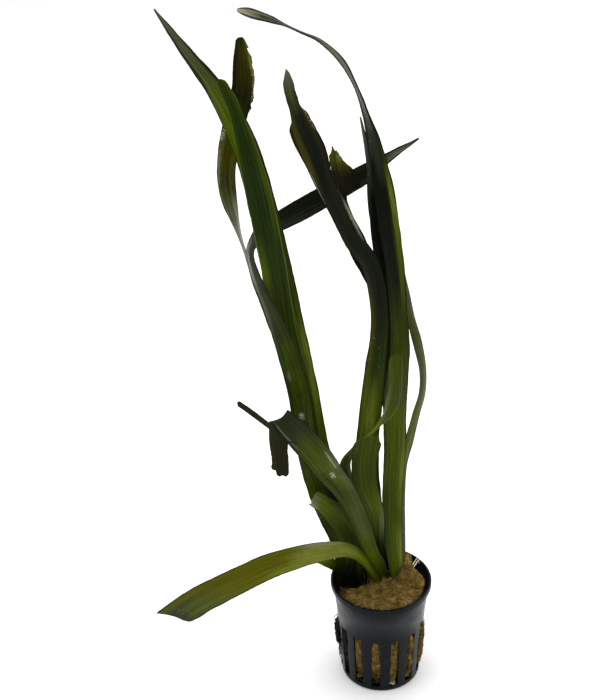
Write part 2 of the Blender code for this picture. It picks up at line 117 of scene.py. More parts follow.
# Leaves: flat blades face the camera, which is the way that FRONT points
FRONT = (0.0, -0.864, 0.503)
COLUMNS = 25
ROW_STEP = 1.5
ROOTED = 3.0
MIDDLE_THICKNESS = 0.62
MARGIN_THICKNESS = 0.16
RIB_HEIGHT = 0.05
VEINS = 5
CUP = 0.09
BASE_CUP = 0.08
END_ZONE = 18.0
RAGGED_STEP = 6.0
FINE_RAGGED_STEP = 1.7
TOOTH_STEP = 1.6
BITE_STEP = 4.0
RUFFLE = 0.35
RUFFLE_STEP = 14.0
TILT = 0.25
TILT_STEP = 30.0
FOLDED_STRIP_SHARE = 0.74
FOLDED_STRIP_PLACE = 0.3

# Each leaf's route runs from its base to its tip: x, y, z and width. A fifth number is the angle
# in degrees by which the blade is turned about its own length away from the plant's front.
ROUTES = {
    "leaf_tall": (
        (-11, 6, 54.2, 8), (-12, 6, 61, 9), (-17, 4, 82, 10), (-24, 4, 111, 11), (-32, 4, 142, 12),
        (-37, 4, 177, 12), (-43, 2, 214, 12), (-48, -1, 246, 12), (-54, 1, 276, 12),
        (-60, 7, 298, 11.5), (-67, 13, 313, 10), (-74, 18, 324, 8), (-86, 24, 339, 5),
        (-98, 30, 355, 0.8)),
    "leaf_broad": (
        (-13, 4, 54.2, 9.6), (-14, 4, 61, 10.4), (-21, 1, 85, 10.6), (-28, -1, 115, 11),
        (-35, -3, 147, 11.5), (-40, -5, 183, 11.5), (-46, -7, 214, 11.5), (-50, -8.5, 250, 11.5),
        (-55, -9, 283, 11.2), (-58.3, -9, 300, 9.2), (-60.2, -8.6, 308, 7.6), (-62.6, -8, 318, 5.8),
        (-65.2, -7.2, 326, 5.2), (-69.4, -6, 335, 4.4)),
    "leaf_brown": (
        (-15.5, 8.5, 54.2, 7), (-16.5, 8.5, 61, 7.5), (-22, 8, 81, 9, 10), (-31, 8, 112, 9, 20),
        (-37, 8, 143, 9, 20), (-41, 9, 171, 9, 20), (-47, 10, 196, 8, 30), (-54, 12, 216, 7, 50),
        (-59, 14, 230, 7, 62), (-64, 17, 245, 7, 80), (-67, 20, 256, 7, 60),
        (-70, 23, 270, 8.5, 20), (-70, 25, 284, 8.8), (-66.6, 28, 299, 10.2), (-61, 30, 317, 10.9),
        (-60.8, 32, 330, 8.6), (-61.2, 33, 340.5, 4.2)),
    "leaf_crossing": (
        (-15, 2, 54.2, 9), (-17, 2, 61, 10.4), (-21, -2, 87, 10.6), (-31, -5, 118, 10.5),
        (-37, -8, 150, 10.5), (-40, -10, 180, 10), (-45, -12, 206, 9.5, 10),
        (-50, -13, 223, 7.5, 25), (-54, -12, 234, 6, 35), (-58, -7, 243, 5, 40),
        (-60, 0, 249, 4.5, 45), (-59, 8, 251, 6, 30), (-54, 17, 254, 8, 20), (-45, 24, 256, 9.4),
        (-32, 30, 260.5, 10.2), (-8, 35, 272, 9.4), (3, 37, 279, 5.2), (19, 38.6, 288.5, 0.8)),
    "leaf_cut": (
        (-13, 0, 54.2, 7), (-14, -1, 61, 8), (-15, -4, 81, 9), (-19, -7, 97, 10.5),
        (-25, -10, 111, 10.5), (-30, -12, 118, 9), (-35, -13, 123, 8)),
    "leaf_stub": (
        (-18.6, 5.2, 54.2, 4.4), (-19.4, 5, 60, 5.2), (-23, 4.8, 64.6, 5.8), (-28, 5, 67.6, 5.4),
        (-35, 5.5, 71, 4.6), (-42, 5, 73, 3)),
    "leaf_drooping": (
        (-2, -1.5, 60, 4.2), (-5, -3.4, 68, 4.4), (-9, -7.5, 77.5, 5), (-13.5, -12, 86, 6.4),
        (-20, -16, 92, 8), (-29, -20, 94.6, 9.6), (-42, -23, 94, 11.2), (-58, -26, 90.6, 12.4),
        (-74, -29, 84, 13.4), (-92, -32.4, 76, 14.2), (-103, -34.4, 69, 14.4),
        (-110.6, -35.5, 63.4, 14)),
    "leaf_folded": (
        (0, -0.5, 60, 7), (-1, -1, 68, 8), (-6, -6, 82, 9), (-11, -12, 105, 9.5),
        (-19, -18, 129, 11), (-26, -22, 143, 12.5), (-32, -26, 156, 13.2), (-39, -29, 168, 13.2),
        (-45, -31, 177, 12), (-49, -30, 181, 10), (-50, -27, 177, 9.2), (-50, -26, 165, 9.2),
        (-50, -26, 145, 8.6)),
    "split_strip": (
        (-42, -29.2, 166, 1.6), (-47, -31, 171, 2.4), (-54, -33, 178.5, 2.6), (-61, -34, 186, 2.6),
        (-68, -35, 193, 2.4)),
    "leaf_blunt": (
        (-0.5, 3, 60, 6), (-1.2, 2.6, 67, 6.5), (-1.8, 1.4, 80, 7), (-3, -1, 102, 9),
        (-8, -4, 122, 12), (-9, -7, 139, 12.5), (-7, -9, 155, 14)),
    "leaf_twisting": (
        (0, 5, 60, 6), (-1, 5, 67, 6), (-5, 3.5, 79, 7), (-11, 2, 102, 7), (-16, 2, 117, 6.5),
        (-18, 1, 131, 6, 20), (-14, 0, 141, 5, 60), (-6, -1, 151, 4.5, 80), (-1, -3, 159, 5, 70),
        (3, -5, 167, 6.4, 40), (5.6, -7, 179, 6.6), (6, -7, 199.6, 6.4)),
    "leaf_torn_dark": (
        (1, 7, 60, 8), (0, 7, 67, 8), (-2, 7.5, 86, 9), (-6, 7.5, 112, 10), (-7, 7, 136, 11),
        (-5, 7, 160, 11), (-3, 7, 183, 10), (-1, 6, 205, 8.5), (-2, 3, 225, 8.5), (-6, 0, 244, 8.2),
        (-12.8, -3, 256, 9), (-17, -4, 266, 9), (-21.4, -5.5, 276.5, 8.8), (-26, -7.4, 287, 8.6),
        (-30.8, -10, 303, 11.2), (-35, -12.2, 314.5, 10), (-37.3, -13.7, 322, 7.2),
        (-38.5, -14.6, 326, 5.4), (-40, -16, 332.5, 4.9), (-41.2, -17, 342.4, 4.2)),
    "leaf_torn_brown": (
        (3, 11.5, 60, 8), (1, 12, 67, 8), (-1.5, 13, 81, 9), (-5, 14, 119, 9.5), (-4, 16, 155, 9.5),
        (1, 18, 196, 9.5), (0, 18, 218, 9.5), (-5, 18, 232, 9.5), (-12, 18, 248, 9.5),
        (-17, 18, 277, 9.5), (-20.2, 18, 296.5, 9)),
    "leaf_arching": (
        (8.5, 2.5, 60, 8, -35), (8, 3.5, 67, 9, -25), (6.5, 5, 84, 10, -10), (6, 5.5, 109, 10.5),
        (7, 6.5, 136, 11), (7, 8, 165, 11.5), (9, 8, 193, 9.5), (8, 8, 215, 8.5), (6, 8, 239, 9),
        (3, 9, 261, 9.5), (0, 11, 280, 8.5), (-3, 13, 296, 6.5), (-7, 16, 310, 3.2),
        (-11, 19, 321, 2.4, 40), (-17, 22, 332, 3.4, 45), (-26, 25, 340, 2.4, 50),
        (-34, 27.4, 343.4, 1.5, 50), (-41, 29.4, 346.2, 1.3, 30), (-48, 31.2, 348.8, 3.4),
        (-55, 32.8, 350.8, 4.5), (-59.5, 34.2, 351.8, 3.5), (-62.2, 35, 352.2, 1.2)),
    "leaf_narrow": (
        (3, 9.3, 60, 7), (3.6, 9.6, 67, 8), (5, 10.3, 83, 8), (6.2, 10.8, 114, 7.6),
        (6.4, 11, 142, 7.6), (4, 12, 172, 8), (3, 13, 212, 8), (1, 13, 234, 7.5), (-1, 14, 251, 7),
        (-3, 17, 268, 6), (-5, 19, 286, 3.5), (-9, 22, 306, 0.8)),
    "leaf_bowed": (
        (10, 9, 60, 5), (11, 10, 67, 5, 20), (11, 12, 82, 6, 40), (11, 13, 104, 7, 60),
        (12, 14, 122, 7, 65), (15, 15, 136, 7, 65), (18, 16, 150, 7, 70), (21, 17, 163, 7, 70),
        (21, 18, 176, 7, 68), (18, 18, 192, 7, 55), (14, 18, 209, 7, 60), (8, 18, 241, 7, 65),
        (6, 18, 259, 7, 60), (4, 18, 274, 6, 60), (1, 18, 288, 3, 60)),
}

# What sets each blade apart. The end gives, for places across the blade from -1 to 1, how many
# millimetres it stops short of its full length. Left and right give the share of the half width
# that is left at places along the blade, where a piece is torn away. Ragged is how far the left
# and right margins wander, in millimetres. Frayed is how deep the teeth of the two margins are, and
# from where on. Sideways is the direction of the blade's width. Most blades have five veins.
FORMS = {
    "leaf_tall": {"ragged": (0.12, 0.12)},
    "leaf_broad": {"round_tip": True, "ragged": (0.12, 0.12)},
    "leaf_brown": {
        "veins": 3, "ragged": (0.15, 0.2), "frayed": (0.0, 0.6, 0.84),
        "end": ((-1, 1.2), (-0.6, 0.2), (0.2, 0), (0.7, 0.6), (1, 2.2))},
    "leaf_crossing": {"ragged": (0.12, 0.15)},
    "leaf_cut": {
        "end": ((-1, 1.6), (-0.92, 0), (-0.8, 2), (-0.4, 1.2), (0, 1.7), (0.5, 0.9), (0.85, 1.2),
                (1, 2.6))},
    "leaf_stub": {"veins": 3, "end": ((-1, 1.5), (-0.3, 0), (0.4, 0.4), (1, 2))},
    "leaf_drooping": {
        "ragged": (0.15, 0.15),
        "end": ((-1, 17), (-0.95, 13.6), (-0.84, 11.4), (-0.5, 9), (0, 6.6), (0.5, 3.6), (0.8, 1.4),
                (1, 0))},
    "leaf_folded": {
        "ragged": (0.15, 0.12), "sideways": (0.9, 0.2, 0.35), "frayed": (0.3, 0.3, 0.88),
        "end": ((-1, 5.0), (-0.5, 4.4), (-0.42, 1.6), (-0.1, 0.7), (0.2, 1.3), (0.6, 0), (1, 1))},
    "split_strip": {"veins": 1, "rooted": 0.0, "end": ((-1, 1.4), (0, 0), (1, 0.6))},
    "leaf_blunt": {
        "ragged": (0.12, 0.12),
        "end": ((-1, 7.5), (-0.85, 5.0), (-0.6, 3.6), (-0.25, 1.6), (0.2, 0.7), (0.6, 0.1),
                (0.76, 0.0), (0.8, 1.9), (1, 3.4))},
    "leaf_twisting": {"veins": 3, "round_tip": True, "ragged": (0.08, 0.08)},
    "leaf_torn_dark": {
        "ragged": (0.1, 0.12), "frayed": (0.03, 0.2, 0.85),
        "left": ((0, 1), (0.84, 1), (0.911, 1.27), (0.9165, 0.86), (0.94, 0.88), (0.955, 1), (1, 1)),
        "right": ((0, 1), (0.9, 1), (0.925, 1.05), (0.93, 0.86), (0.95, 1), (1, 1)),
        "end": ((-1, 6), (-0.5, 2.6), (-0.1, 0), (0.5, 2.2), (1, 7))},
    "leaf_torn_brown": {
        "ragged": (0.2, 0.2), "frayed": (0.1, 0.15, 0.9),
        "right": ((0, 1), (0.8, 1), (0.842, 0.34), (0.873, 0.06), (0.889, 0.12), (0.9, 1.45), (0.91, 1.6),
                  (0.928, 1.38), (0.947, 1.08), (0.97, 0.68), (0.985, 0.4), (1, 0.14)),
        "end": ((-1, 6.5), (-0.7, 5.4), (-0.5, 3.4), (-0.44, 0), (-0.36, 4.2), (-0.28, 3.6), (-0.22, 5.4),
                (-0.1, 4.4), (0, 6), (0.3, 6.5), (1, 8))},
    "leaf_arching": {"ragged": (0.1, 0.12)},
    "leaf_narrow": {"veins": 3},
    "leaf_bowed": {"veins": 3},
}


def smoothstep(low, high, value):
    t = np.clip((value - low) / (high - low), 0.0, 1.0)
    return t * t * (3 - 2 * t)


def unit(vectors):
    return vectors / np.linalg.norm(vectors, axis=-1, keepdims=True)


def smooth_rows(rows, where):
    """Read a smooth curve through the rows at the places given, counted in rows."""
    last = len(rows) - 1
    near = np.clip(np.floor(where).astype(int), 0, last - 1)
    t = (where - near)[:, None]
    p1, p2 = rows[near], rows[near + 1]
    p0 = np.where((near == 0)[:, None], 2 * p1 - p2, rows[np.maximum(near - 1, 0)])
    p3 = np.where((near == last - 1)[:, None], 2 * p2 - p1, rows[np.minimum(near + 2, last)])
    return 0.5 * (2 * p1 + (p2 - p0) * t + (2 * p0 - 5 * p1 + 4 * p2 - p3) * t ** 2
                  + (3 * p1 - p0 - 3 * p2 + p3) * t ** 3)


def wander(where, step, seed):
    """A smooth random line from -1 to 1, with a new value every step."""
    values = np.random.default_rng(seed).uniform(-1, 1, 4096)
    place = np.asarray(where, float) / step + 7.3
    near = np.floor(place).astype(int)
    t = smoothstep(0, 1, place - near)
    return values[near % len(values)] * (1 - t) + values[(near + 1) % len(values)] * t


def rough(points, size, octaves=3):
    """Fractal noise from about -1 to 1 at points in millimetres, with lumps of the size given."""
    return np.array([noise.fractal(Vector(p) / size, 1.0, 2.0, octaves) for p in points])


def wall_radius(z):
    """Outer radius of the pot's wall at a height."""
    return BASE_RADIUS + (WALL_TOP_RADIUS - BASE_RADIUS) * z / (POT_HEIGHT - LIP_HEIGHT)


def slot_turn(index):
    return math.radians(SLOT_FIRST_ANGLE + index * 360.0 / SLOT_COUNT)


def in_slot(index, out, side, height):
    """Places in one slot, at distances out from the pot's axis and to the side of the slot's middle."""
    sine, cosine = math.sin(slot_turn(index)), math.cos(slot_turn(index))
    parts = np.broadcast_arrays(out * sine + side * cosine, side * sine - out * cosine, height)
    return np.stack(parts, -1)


# Meshes

class Shell:
    """Points in millimetres, faces, and numbers kept at the points for the materials."""

    def __init__(self, points, faces, **marks):
        self.points = np.asarray(points, float).reshape(-1, 3)
        self.faces = [tuple(face) for face in faces]
        self.marks = marks


def piece(name, shells, finish, node=None, sharp=None):
    """One object of the plant from its shells: named, finished, smooth, and riding on the root."""
    points = np.vstack([shell.points for shell in shells])
    faces, start = [], 0
    for shell in shells:
        faces += [tuple(corner + start for corner in face) for face in shell.faces]
        start += len(shell.points)
    mesh = bpy.data.meshes.new(name)
    mesh.from_pydata((points * MM).tolist(), [], faces)
    for mark in shells[0].marks:
        values = np.concatenate([shell.marks[mark] for shell in shells])
        kind, field = ("FLOAT_VECTOR", "vector") if values.ndim == 2 else ("FLOAT", "value")
        attribute = mesh.attributes.new(mark, kind, "POINT")
        attribute.data.foreach_set(field, values.astype(np.float32).ravel())
    mesh.validate()
    mesh.shade_smooth()
    if sharp:
        mesh.set_sharp_from_angle(angle=math.radians(sharp))
    mesh.materials.append(finish)
    thing = bpy.data.objects.new(name, mesh)
    bpy.context.scene.collection.objects.link(thing)
    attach(thing, "root")
    if node:
        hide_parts(node)
    return thing


def loop_faces(rows, ring, closed_ends=True):
    """Quads of a tube whose points run ring by ring, with flat ends of one face each."""
    faces = []
    for i in range(rows - 1):
        for j in range(ring):
            k = (j + 1) % ring
            faces.append((i * ring + j, i * ring + k, (i + 1) * ring + k, (i + 1) * ring + j))
    if closed_ends:
        faces.append(tuple(range(ring - 1, -1, -1)))
        faces.append(tuple((rows - 1) * ring + j for j in range(ring)))
    return faces


def blade_frames(rows, reach, sideways):
    """Centre, side, face and half width of a leaf at distances along it."""
    steps = np.linspace(0.0, 1.0, 601)
    curve = smooth_rows(rows, steps * (len(rows) - 1))
    lengths = np.r_[0.0, np.cumsum(np.linalg.norm(np.diff(curve[:, :3], axis=0), axis=1))]
    place = np.interp(reach, lengths, steps) * (len(rows) - 1)
    here = smooth_rows(rows, place)
    ahead = smooth_rows(rows, np.minimum(place + 0.02, len(rows) - 1))
    behind = smooth_rows(rows, np.maximum(place - 0.02, 0.0))
    tangent = unit(ahead[:, :3] - behind[:, :3])
    if sideways is None:
        side = unit(np.cross(tangent, FRONT))
    else:
        side = unit(np.asarray(sideways) - (tangent @ np.asarray(sideways))[:, None] * tangent)
    face = np.cross(side, tangent)
    turn = np.radians(here[:, 4:5])
    side = side * np.cos(turn) + face * np.sin(turn)
    face = unit(np.cross(side, tangent))
    return here[:, :3], side, face, here[:, 3] / 2, lengths[-1]


def blade(name, seed):
    """A strap leaf as a thin closed shell with raised veins, torn margins and its own end."""
    form = FORMS[name]
    ragged = form.get("ragged", (0.1, 0.1))
    rows = np.array([(*row, 0)[:5] for row in ROUTES[name]], float)
    rooted = form.get("rooted", ROOTED)
    if rooted:
        rows = np.vstack([rows[0] - (0, 0, rooted, 0.5, 0), rows])
    length = blade_frames(rows, np.zeros(1), form.get("sideways"))[4]
    count = max(int(length / ROW_STEP), 12)
    spread = np.linspace(-1, 1, COLUMNS)
    ring = np.r_[spread, spread[-2:0:-1]]
    front = np.r_[np.ones(COLUMNS), -np.ones(COLUMNS - 2)]
    front[[0, COLUMNS - 1]] = 0.0
    across = np.tile(ring, count)
    front = np.tile(front, count)
    along = np.repeat(np.linspace(0, 1, count), len(ring))

    # Torn and ragged margins, as the share of the half width that is left on each side
    left = np.interp(along, *np.transpose(form.get("left", ((0, 1), (1, 1)))))
    right = np.interp(along, *np.transpose(form.get("right", ((0, 1), (1, 1)))))
    reach = along * length
    half = blade_frames(rows, reach, form.get("sideways"))[3]
    for sign, share in ((-1, left), (1, right)):
        index = 0 if sign < 0 else 1
        amount = ragged[index] * wander(reach, RAGGED_STEP, seed + index)
        amount += 0.4 * ragged[index] * wander(reach, FINE_RAGGED_STEP, seed + 20 + index)
        if "frayed" in form:
            teeth = wander(reach, TOOTH_STEP, seed + 40 + index)
            teeth += 0.6 * wander(reach, BITE_STEP, seed + 50 + index)
            amount -= form["frayed"][index] * (1 + teeth) * smoothstep(0, 0.06, along - form["frayed"][2])
        share += amount / np.maximum(half, 1.0)
    across = across * np.where(across < 0, left, right)

    # The end of the blade
    end = np.transpose(form.get("end", ((-1, 0), (1, 0))))
    short = np.interp(across, end[0], end[1])
    reach = reach - short * smoothstep(1 - END_ZONE / length, 1, along)
    centre, side, face, half, _ = blade_frames(rows, reach, form.get("sideways"))
    if form.get("round_tip"):
        left_over = np.clip((length - reach) / (1.5 * half), 0.01, 1.0)
        half = half * np.sqrt(1 - (1 - left_over) ** 2)

    # Section: cupped, ruffled at the margins, thick and clasping at the base, ribbed by veins
    base = 1 - smoothstep(2.0, 22.0, reach)
    cup = (CUP + BASE_CUP * base) * 2 * half * (1 - across ** 2)
    ruffle = RUFFLE * across * np.abs(across) * wander(reach, RUFFLE_STEP, seed + 3)
    ruffle += TILT * wander(reach, TILT_STEP, seed + 4) * across
    ruffle *= smoothstep(5.0, 40.0, reach) * np.minimum(half / 4, 1)
    thin = np.clip(1 - np.abs(across) ** 3, 0, 1)
    thickness = MARGIN_THICKNESS + (MIDDLE_THICKNESS + 0.5 * base - MARGIN_THICKNESS) * thin
    thickness *= smoothstep(0, 3.0, half) * 0.6 + 0.4
    ridges = 0.5 + 0.5 * np.cos(math.pi * (form.get("veins", VEINS) + 1) * across)
    ribs = RIB_HEIGHT * ridges ** 2 * thin
    lift = front * (thickness / 2 + ribs) + ruffle - cup
    points = centre + side * (half * across)[:, None] + face * lift[:, None]
    strap = np.stack([across, along, reach * MM], -1)
    return Shell(points, loop_faces(count, len(ring), False) + end_faces(count, len(ring)), strap=strap)


def end_faces(count, ring):
    """Close both ends of a blade with faces that join its front to its back."""
    faces = []
    for start, flip in ((0, True), ((count - 1) * ring, False)):
        for j in range(COLUMNS - 1):
            face = [start + j, start + j + 1, start + (ring - j - 1) % ring, start + (ring - j) % ring]
            face = list(dict.fromkeys(face))
            faces.append(tuple(face[::-1] if flip else face))
    return faces


def strands(paths, radii, sides=3, **marks):
    """Many thin tubes at once. Paths are (tubes, points, 3), and radii are (tubes, points)."""
    tubes, steps = radii.shape
    tangent = unit(np.gradient(paths, axis=1))
    helper = unit(np.random.default_rng(5).normal(size=(tubes, 1, 3)))
    side = unit(np.cross(tangent, helper))
    up = np.cross(side, tangent)
    turn = np.linspace(0, 2 * math.pi, sides, endpoint=False)
    ring = side[:, :, None] * np.cos(turn)[:, None] + up[:, :, None] * np.sin(turn)[:, None]
    points = paths[:, :, None] + ring * radii[:, :, None, None]
    starts = np.arange(tubes)[:, None, None] * steps * sides
    pattern = loop_faces(steps, sides)
    faces = (np.array(pattern[:-2])[None] + starts).reshape(-1, 4).tolist()
    faces += (np.array(pattern[-2:])[None] + starts).reshape(-1, sides).tolist()
    spread = {key: np.repeat(value, steps * sides, axis=0) for key, value in marks.items()}
    return Shell(points.reshape(-1, 3), faces, **spread)


# Materials

def paint(code):
    """A colour written as it looks on a screen, such as 3b4510, as the shader's linear values."""
    channels = [int(code[i:i + 2], 16) / 255 for i in (0, 2, 4)]
    return (*[c / 12.92 if c < 0.04045 else ((c + 0.055) / 1.055) ** 2.4 for c in channels], 1.0)


class Sheet:
    """Short ways to lay out the nodes of one material or group."""

    def __init__(self, tree):
        self.tree = tree

    def add(self, kind, inputs=(), **settings):
        made = self.tree.nodes.new(kind)
        for key, value in settings.items():
            setattr(made, key, value)
        for socket, value in dict(inputs).items():
            self.put(value, made.inputs[socket])
        return made

    def put(self, value, socket):
        """Link another socket to a socket, or set a plain value on it."""
        if isinstance(value, bpy.types.NodeSocket):
            self.tree.links.new(value, socket)
        else:
            socket.default_value = value

    def maths(self, operation, first, second=0.0, clamp=False):
        inputs = {0: first, 1: second}
        return self.add("ShaderNodeMath", inputs, operation=operation, use_clamp=clamp).outputs[0]

    def plus(self, first, second):
        return self.maths("ADD", first, second)

    def times(self, first, second):
        return self.maths("MULTIPLY", first, second)

    def between(self, value, low, high, start=0.0, stop=1.0):
        """Map a value smoothly from low..high to start..stop."""
        inputs = {"Value": value, "From Min": low, "From Max": high, "To Min": start, "To Max": stop}
        return self.add("ShaderNodeMapRange", inputs, interpolation_type="SMOOTHSTEP").outputs["Result"]

    def mix(self, factor, first, second, blend="MIX"):
        inputs = {"Factor": factor, 6: first, 7: second}
        made = self.add("ShaderNodeMix", inputs, data_type="RGBA", blend_type=blend)
        return made.outputs[2]

    def ramp(self, factor, stops):
        made = self.add("ShaderNodeValToRGB", {"Fac": factor})
        elements = made.color_ramp.elements
        while len(elements) < len(stops):
            elements.new(0.5)
        for element, (place, code) in zip(elements, stops):
            element.position = place
            element.color = paint(code)
        return made.outputs["Color"]

    def noise(self, vector, scale, detail=3.0, roughness=0.55, stretch=None):
        if stretch:
            stretched = self.add("ShaderNodeVectorMath", {0: vector, 1: stretch}, operation="MULTIPLY")
            vector = stretched.outputs[0]
        inputs = {"Vector": vector, "Scale": scale, "Detail": detail, "Roughness": roughness}
        return self.add("ShaderNodeTexNoise", inputs).outputs["Fac"]

    def group(self, group, **inputs):
        made = self.add("ShaderNodeGroup", node_tree=group)
        for name, value in inputs.items():
            self.put(value, made.inputs[name])
        return made.outputs


def new_group(name, inputs, outputs):
    """An empty shader group with named sockets, its sheet, its inputs and its outputs.

    Place is a vector, and the other sockets are numbers.
    """
    group = bpy.data.node_groups.new(name, "ShaderNodeTree")
    for way, labels in (("INPUT", inputs), ("OUTPUT", outputs)):
        for label in labels.split():
            kind = "NodeSocketVector" if label == "Place" else "NodeSocketFloat"
            group.interface.new_socket(label, in_out=way, socket_type=kind)
    sheet = Sheet(group)
    return group, sheet, sheet.add("NodeGroupInput").outputs, sheet.add("NodeGroupOutput").inputs


def make_vein_group():
    """Parallel veins, the fine cross veins between them, and streaks along the blade."""
    group, sheet, given, out = new_group(
        "strap_veins", "Across Length Veins Seed", "Line Net Streak Thread Relief")
    across = given["Across"]
    wave = sheet.maths("COSINE", sheet.times(across, sheet.times(given["Veins"], math.pi)))
    line = sheet.between(wave, 0.55, 1.0)
    strap = {0: across, 1: given["Length"], 2: given["Seed"]}
    place = sheet.add("ShaderNodeCombineXYZ", strap).outputs[0]
    streak = sheet.noise(place, 1.0, detail=5.0, roughness=0.7, stretch=(7.0, 20.0, 1.0))
    fine = sheet.noise(place, 1.0, detail=2.0, stretch=(30.0, 50.0, 1.0))
    thread = sheet.noise(place, 1.0, detail=1.0, stretch=(17.0, 14.0, 1.0))
    cell = sheet.noise(place, 1.0, detail=1.0, stretch=(5.0, 1100.0, 0.0))
    net = sheet.between(cell, 0.60, 0.70)
    height = sheet.plus(sheet.times(line, 0.6), sheet.times(fine, 0.5))
    sheet.put(line, out["Line"])
    sheet.put(net, out["Net"])
    sheet.put(sheet.between(thread, 0.5, 0.62), out["Thread"])
    sheet.put(sheet.plus(sheet.times(streak, 0.65), sheet.times(fine, 0.35)), out["Streak"])
    sheet.put(sheet.plus(height, sheet.times(net, 0.25)), out["Relief"])
    return group


def make_wear_group():
    """Blotches of algae and decay, and small pale specks of lime."""
    group, sheet, given, out = new_group("leaf_wear", "Place Seed", "Blotch Speck")
    shift = sheet.add("ShaderNodeCombineXYZ", {0: given["Seed"], 1: given["Seed"]}).outputs[0]
    moved = sheet.add("ShaderNodeVectorMath", {0: given["Place"], 1: shift}, operation="ADD")
    place = moved.outputs[0]
    blotch = sheet.noise(place, 90.0, detail=4.0, roughness=0.6)
    speck = sheet.noise(place, 900.0, detail=2.0, roughness=0.5)
    where = sheet.noise(place, 55.0, detail=2.0)
    speck = sheet.times(sheet.between(speck, 0.62, 0.7), sheet.between(where, 0.62, 0.72))
    sheet.put(sheet.between(blotch, 0.42, 0.66), out["Blotch"])
    sheet.put(speck, out["Speck"])
    return group


def make_spot_group():
    """A soft oval at one place on a blade, and the same oval broken into crumbs."""
    group, sheet, given, out = new_group(
        "leaf_spot", "Across Length Place At Along Wide Long", "Soft Crumbs")
    squares = []
    for where, middle, half in (("Across", "At", "Wide"), ("Length", "Along", "Long")):
        share = sheet.maths("DIVIDE", sheet.maths("SUBTRACT", given[where], given[middle]), given[half])
        squares.append(sheet.maths("POWER", share, 2.0))
    reach = sheet.maths("SQRT", sheet.plus(*squares))
    uneven = sheet.noise(given["Place"], 500.0, detail=3.0, roughness=0.65)
    reach = sheet.plus(reach, sheet.times(sheet.maths("SUBTRACT", uneven, 0.5), 1.2))
    soft = sheet.between(reach, 0.45, 1.05, 1.0, 0.0)
    crumb = sheet.noise(given["Place"], 2600.0, detail=1.0, roughness=0.6)
    sheet.put(soft, out["Soft"])
    sheet.put(sheet.times(soft, sheet.between(crumb, 0.5, 0.6)), out["Crumbs"])
    return group


def new_finish(name):
    """A material, the sheet for its nodes, and its shader."""
    finish = bpy.data.materials.new(name)
    finish.use_nodes = True
    return finish, Sheet(finish.node_tree), finish.node_tree.nodes["Principled BSDF"]


def coat(sheet, shader, colour, roughness, specular, bumps):
    """Give a shader its surface. Bumps are a height, a strength, and a depth in metres."""
    sheet.put(colour, shader.inputs["Base Color"])
    sheet.put(roughness, shader.inputs["Roughness"])
    sheet.put(specular, shader.inputs["Specular IOR Level"])
    inputs = dict(zip(("Height", "Strength", "Distance"), bumps))
    sheet.put(sheet.add("ShaderNodeBump", inputs).outputs["Normal"], shader.inputs["Normal"])


# The plant's greens, browns and greys, as they look on a screen. Silver, gloss and ash stand for
# painted sheen: the pale highlights of the wet skin, mostly near the tips of blades and where they
# twist. Film is a pale grey that serves both for painted highlights and for real lime and thin margins.
SHADES = {
    "ink": "090d04", "soot": "14180b", "slate": "23291a", "bottle": "1d2c09", "moss": "2c390a",
    "leaf": "3a460e", "spring": "4b5913", "lime": "666f28", "sage": "484f2a", "haze": "5f6647",
    "ash": "5d5f52", "silver": "8f9088", "bone": "a39b84", "olive": "545417", "khaki": "737637",
    "gold": "403d0b", "umber": "28260c", "bark": "1a1a09", "steel": "353b2d", "film": "82826e",
    "dry": "b6ad86", "chalk": "cfcdbd", "gloss": "8d9477",
}
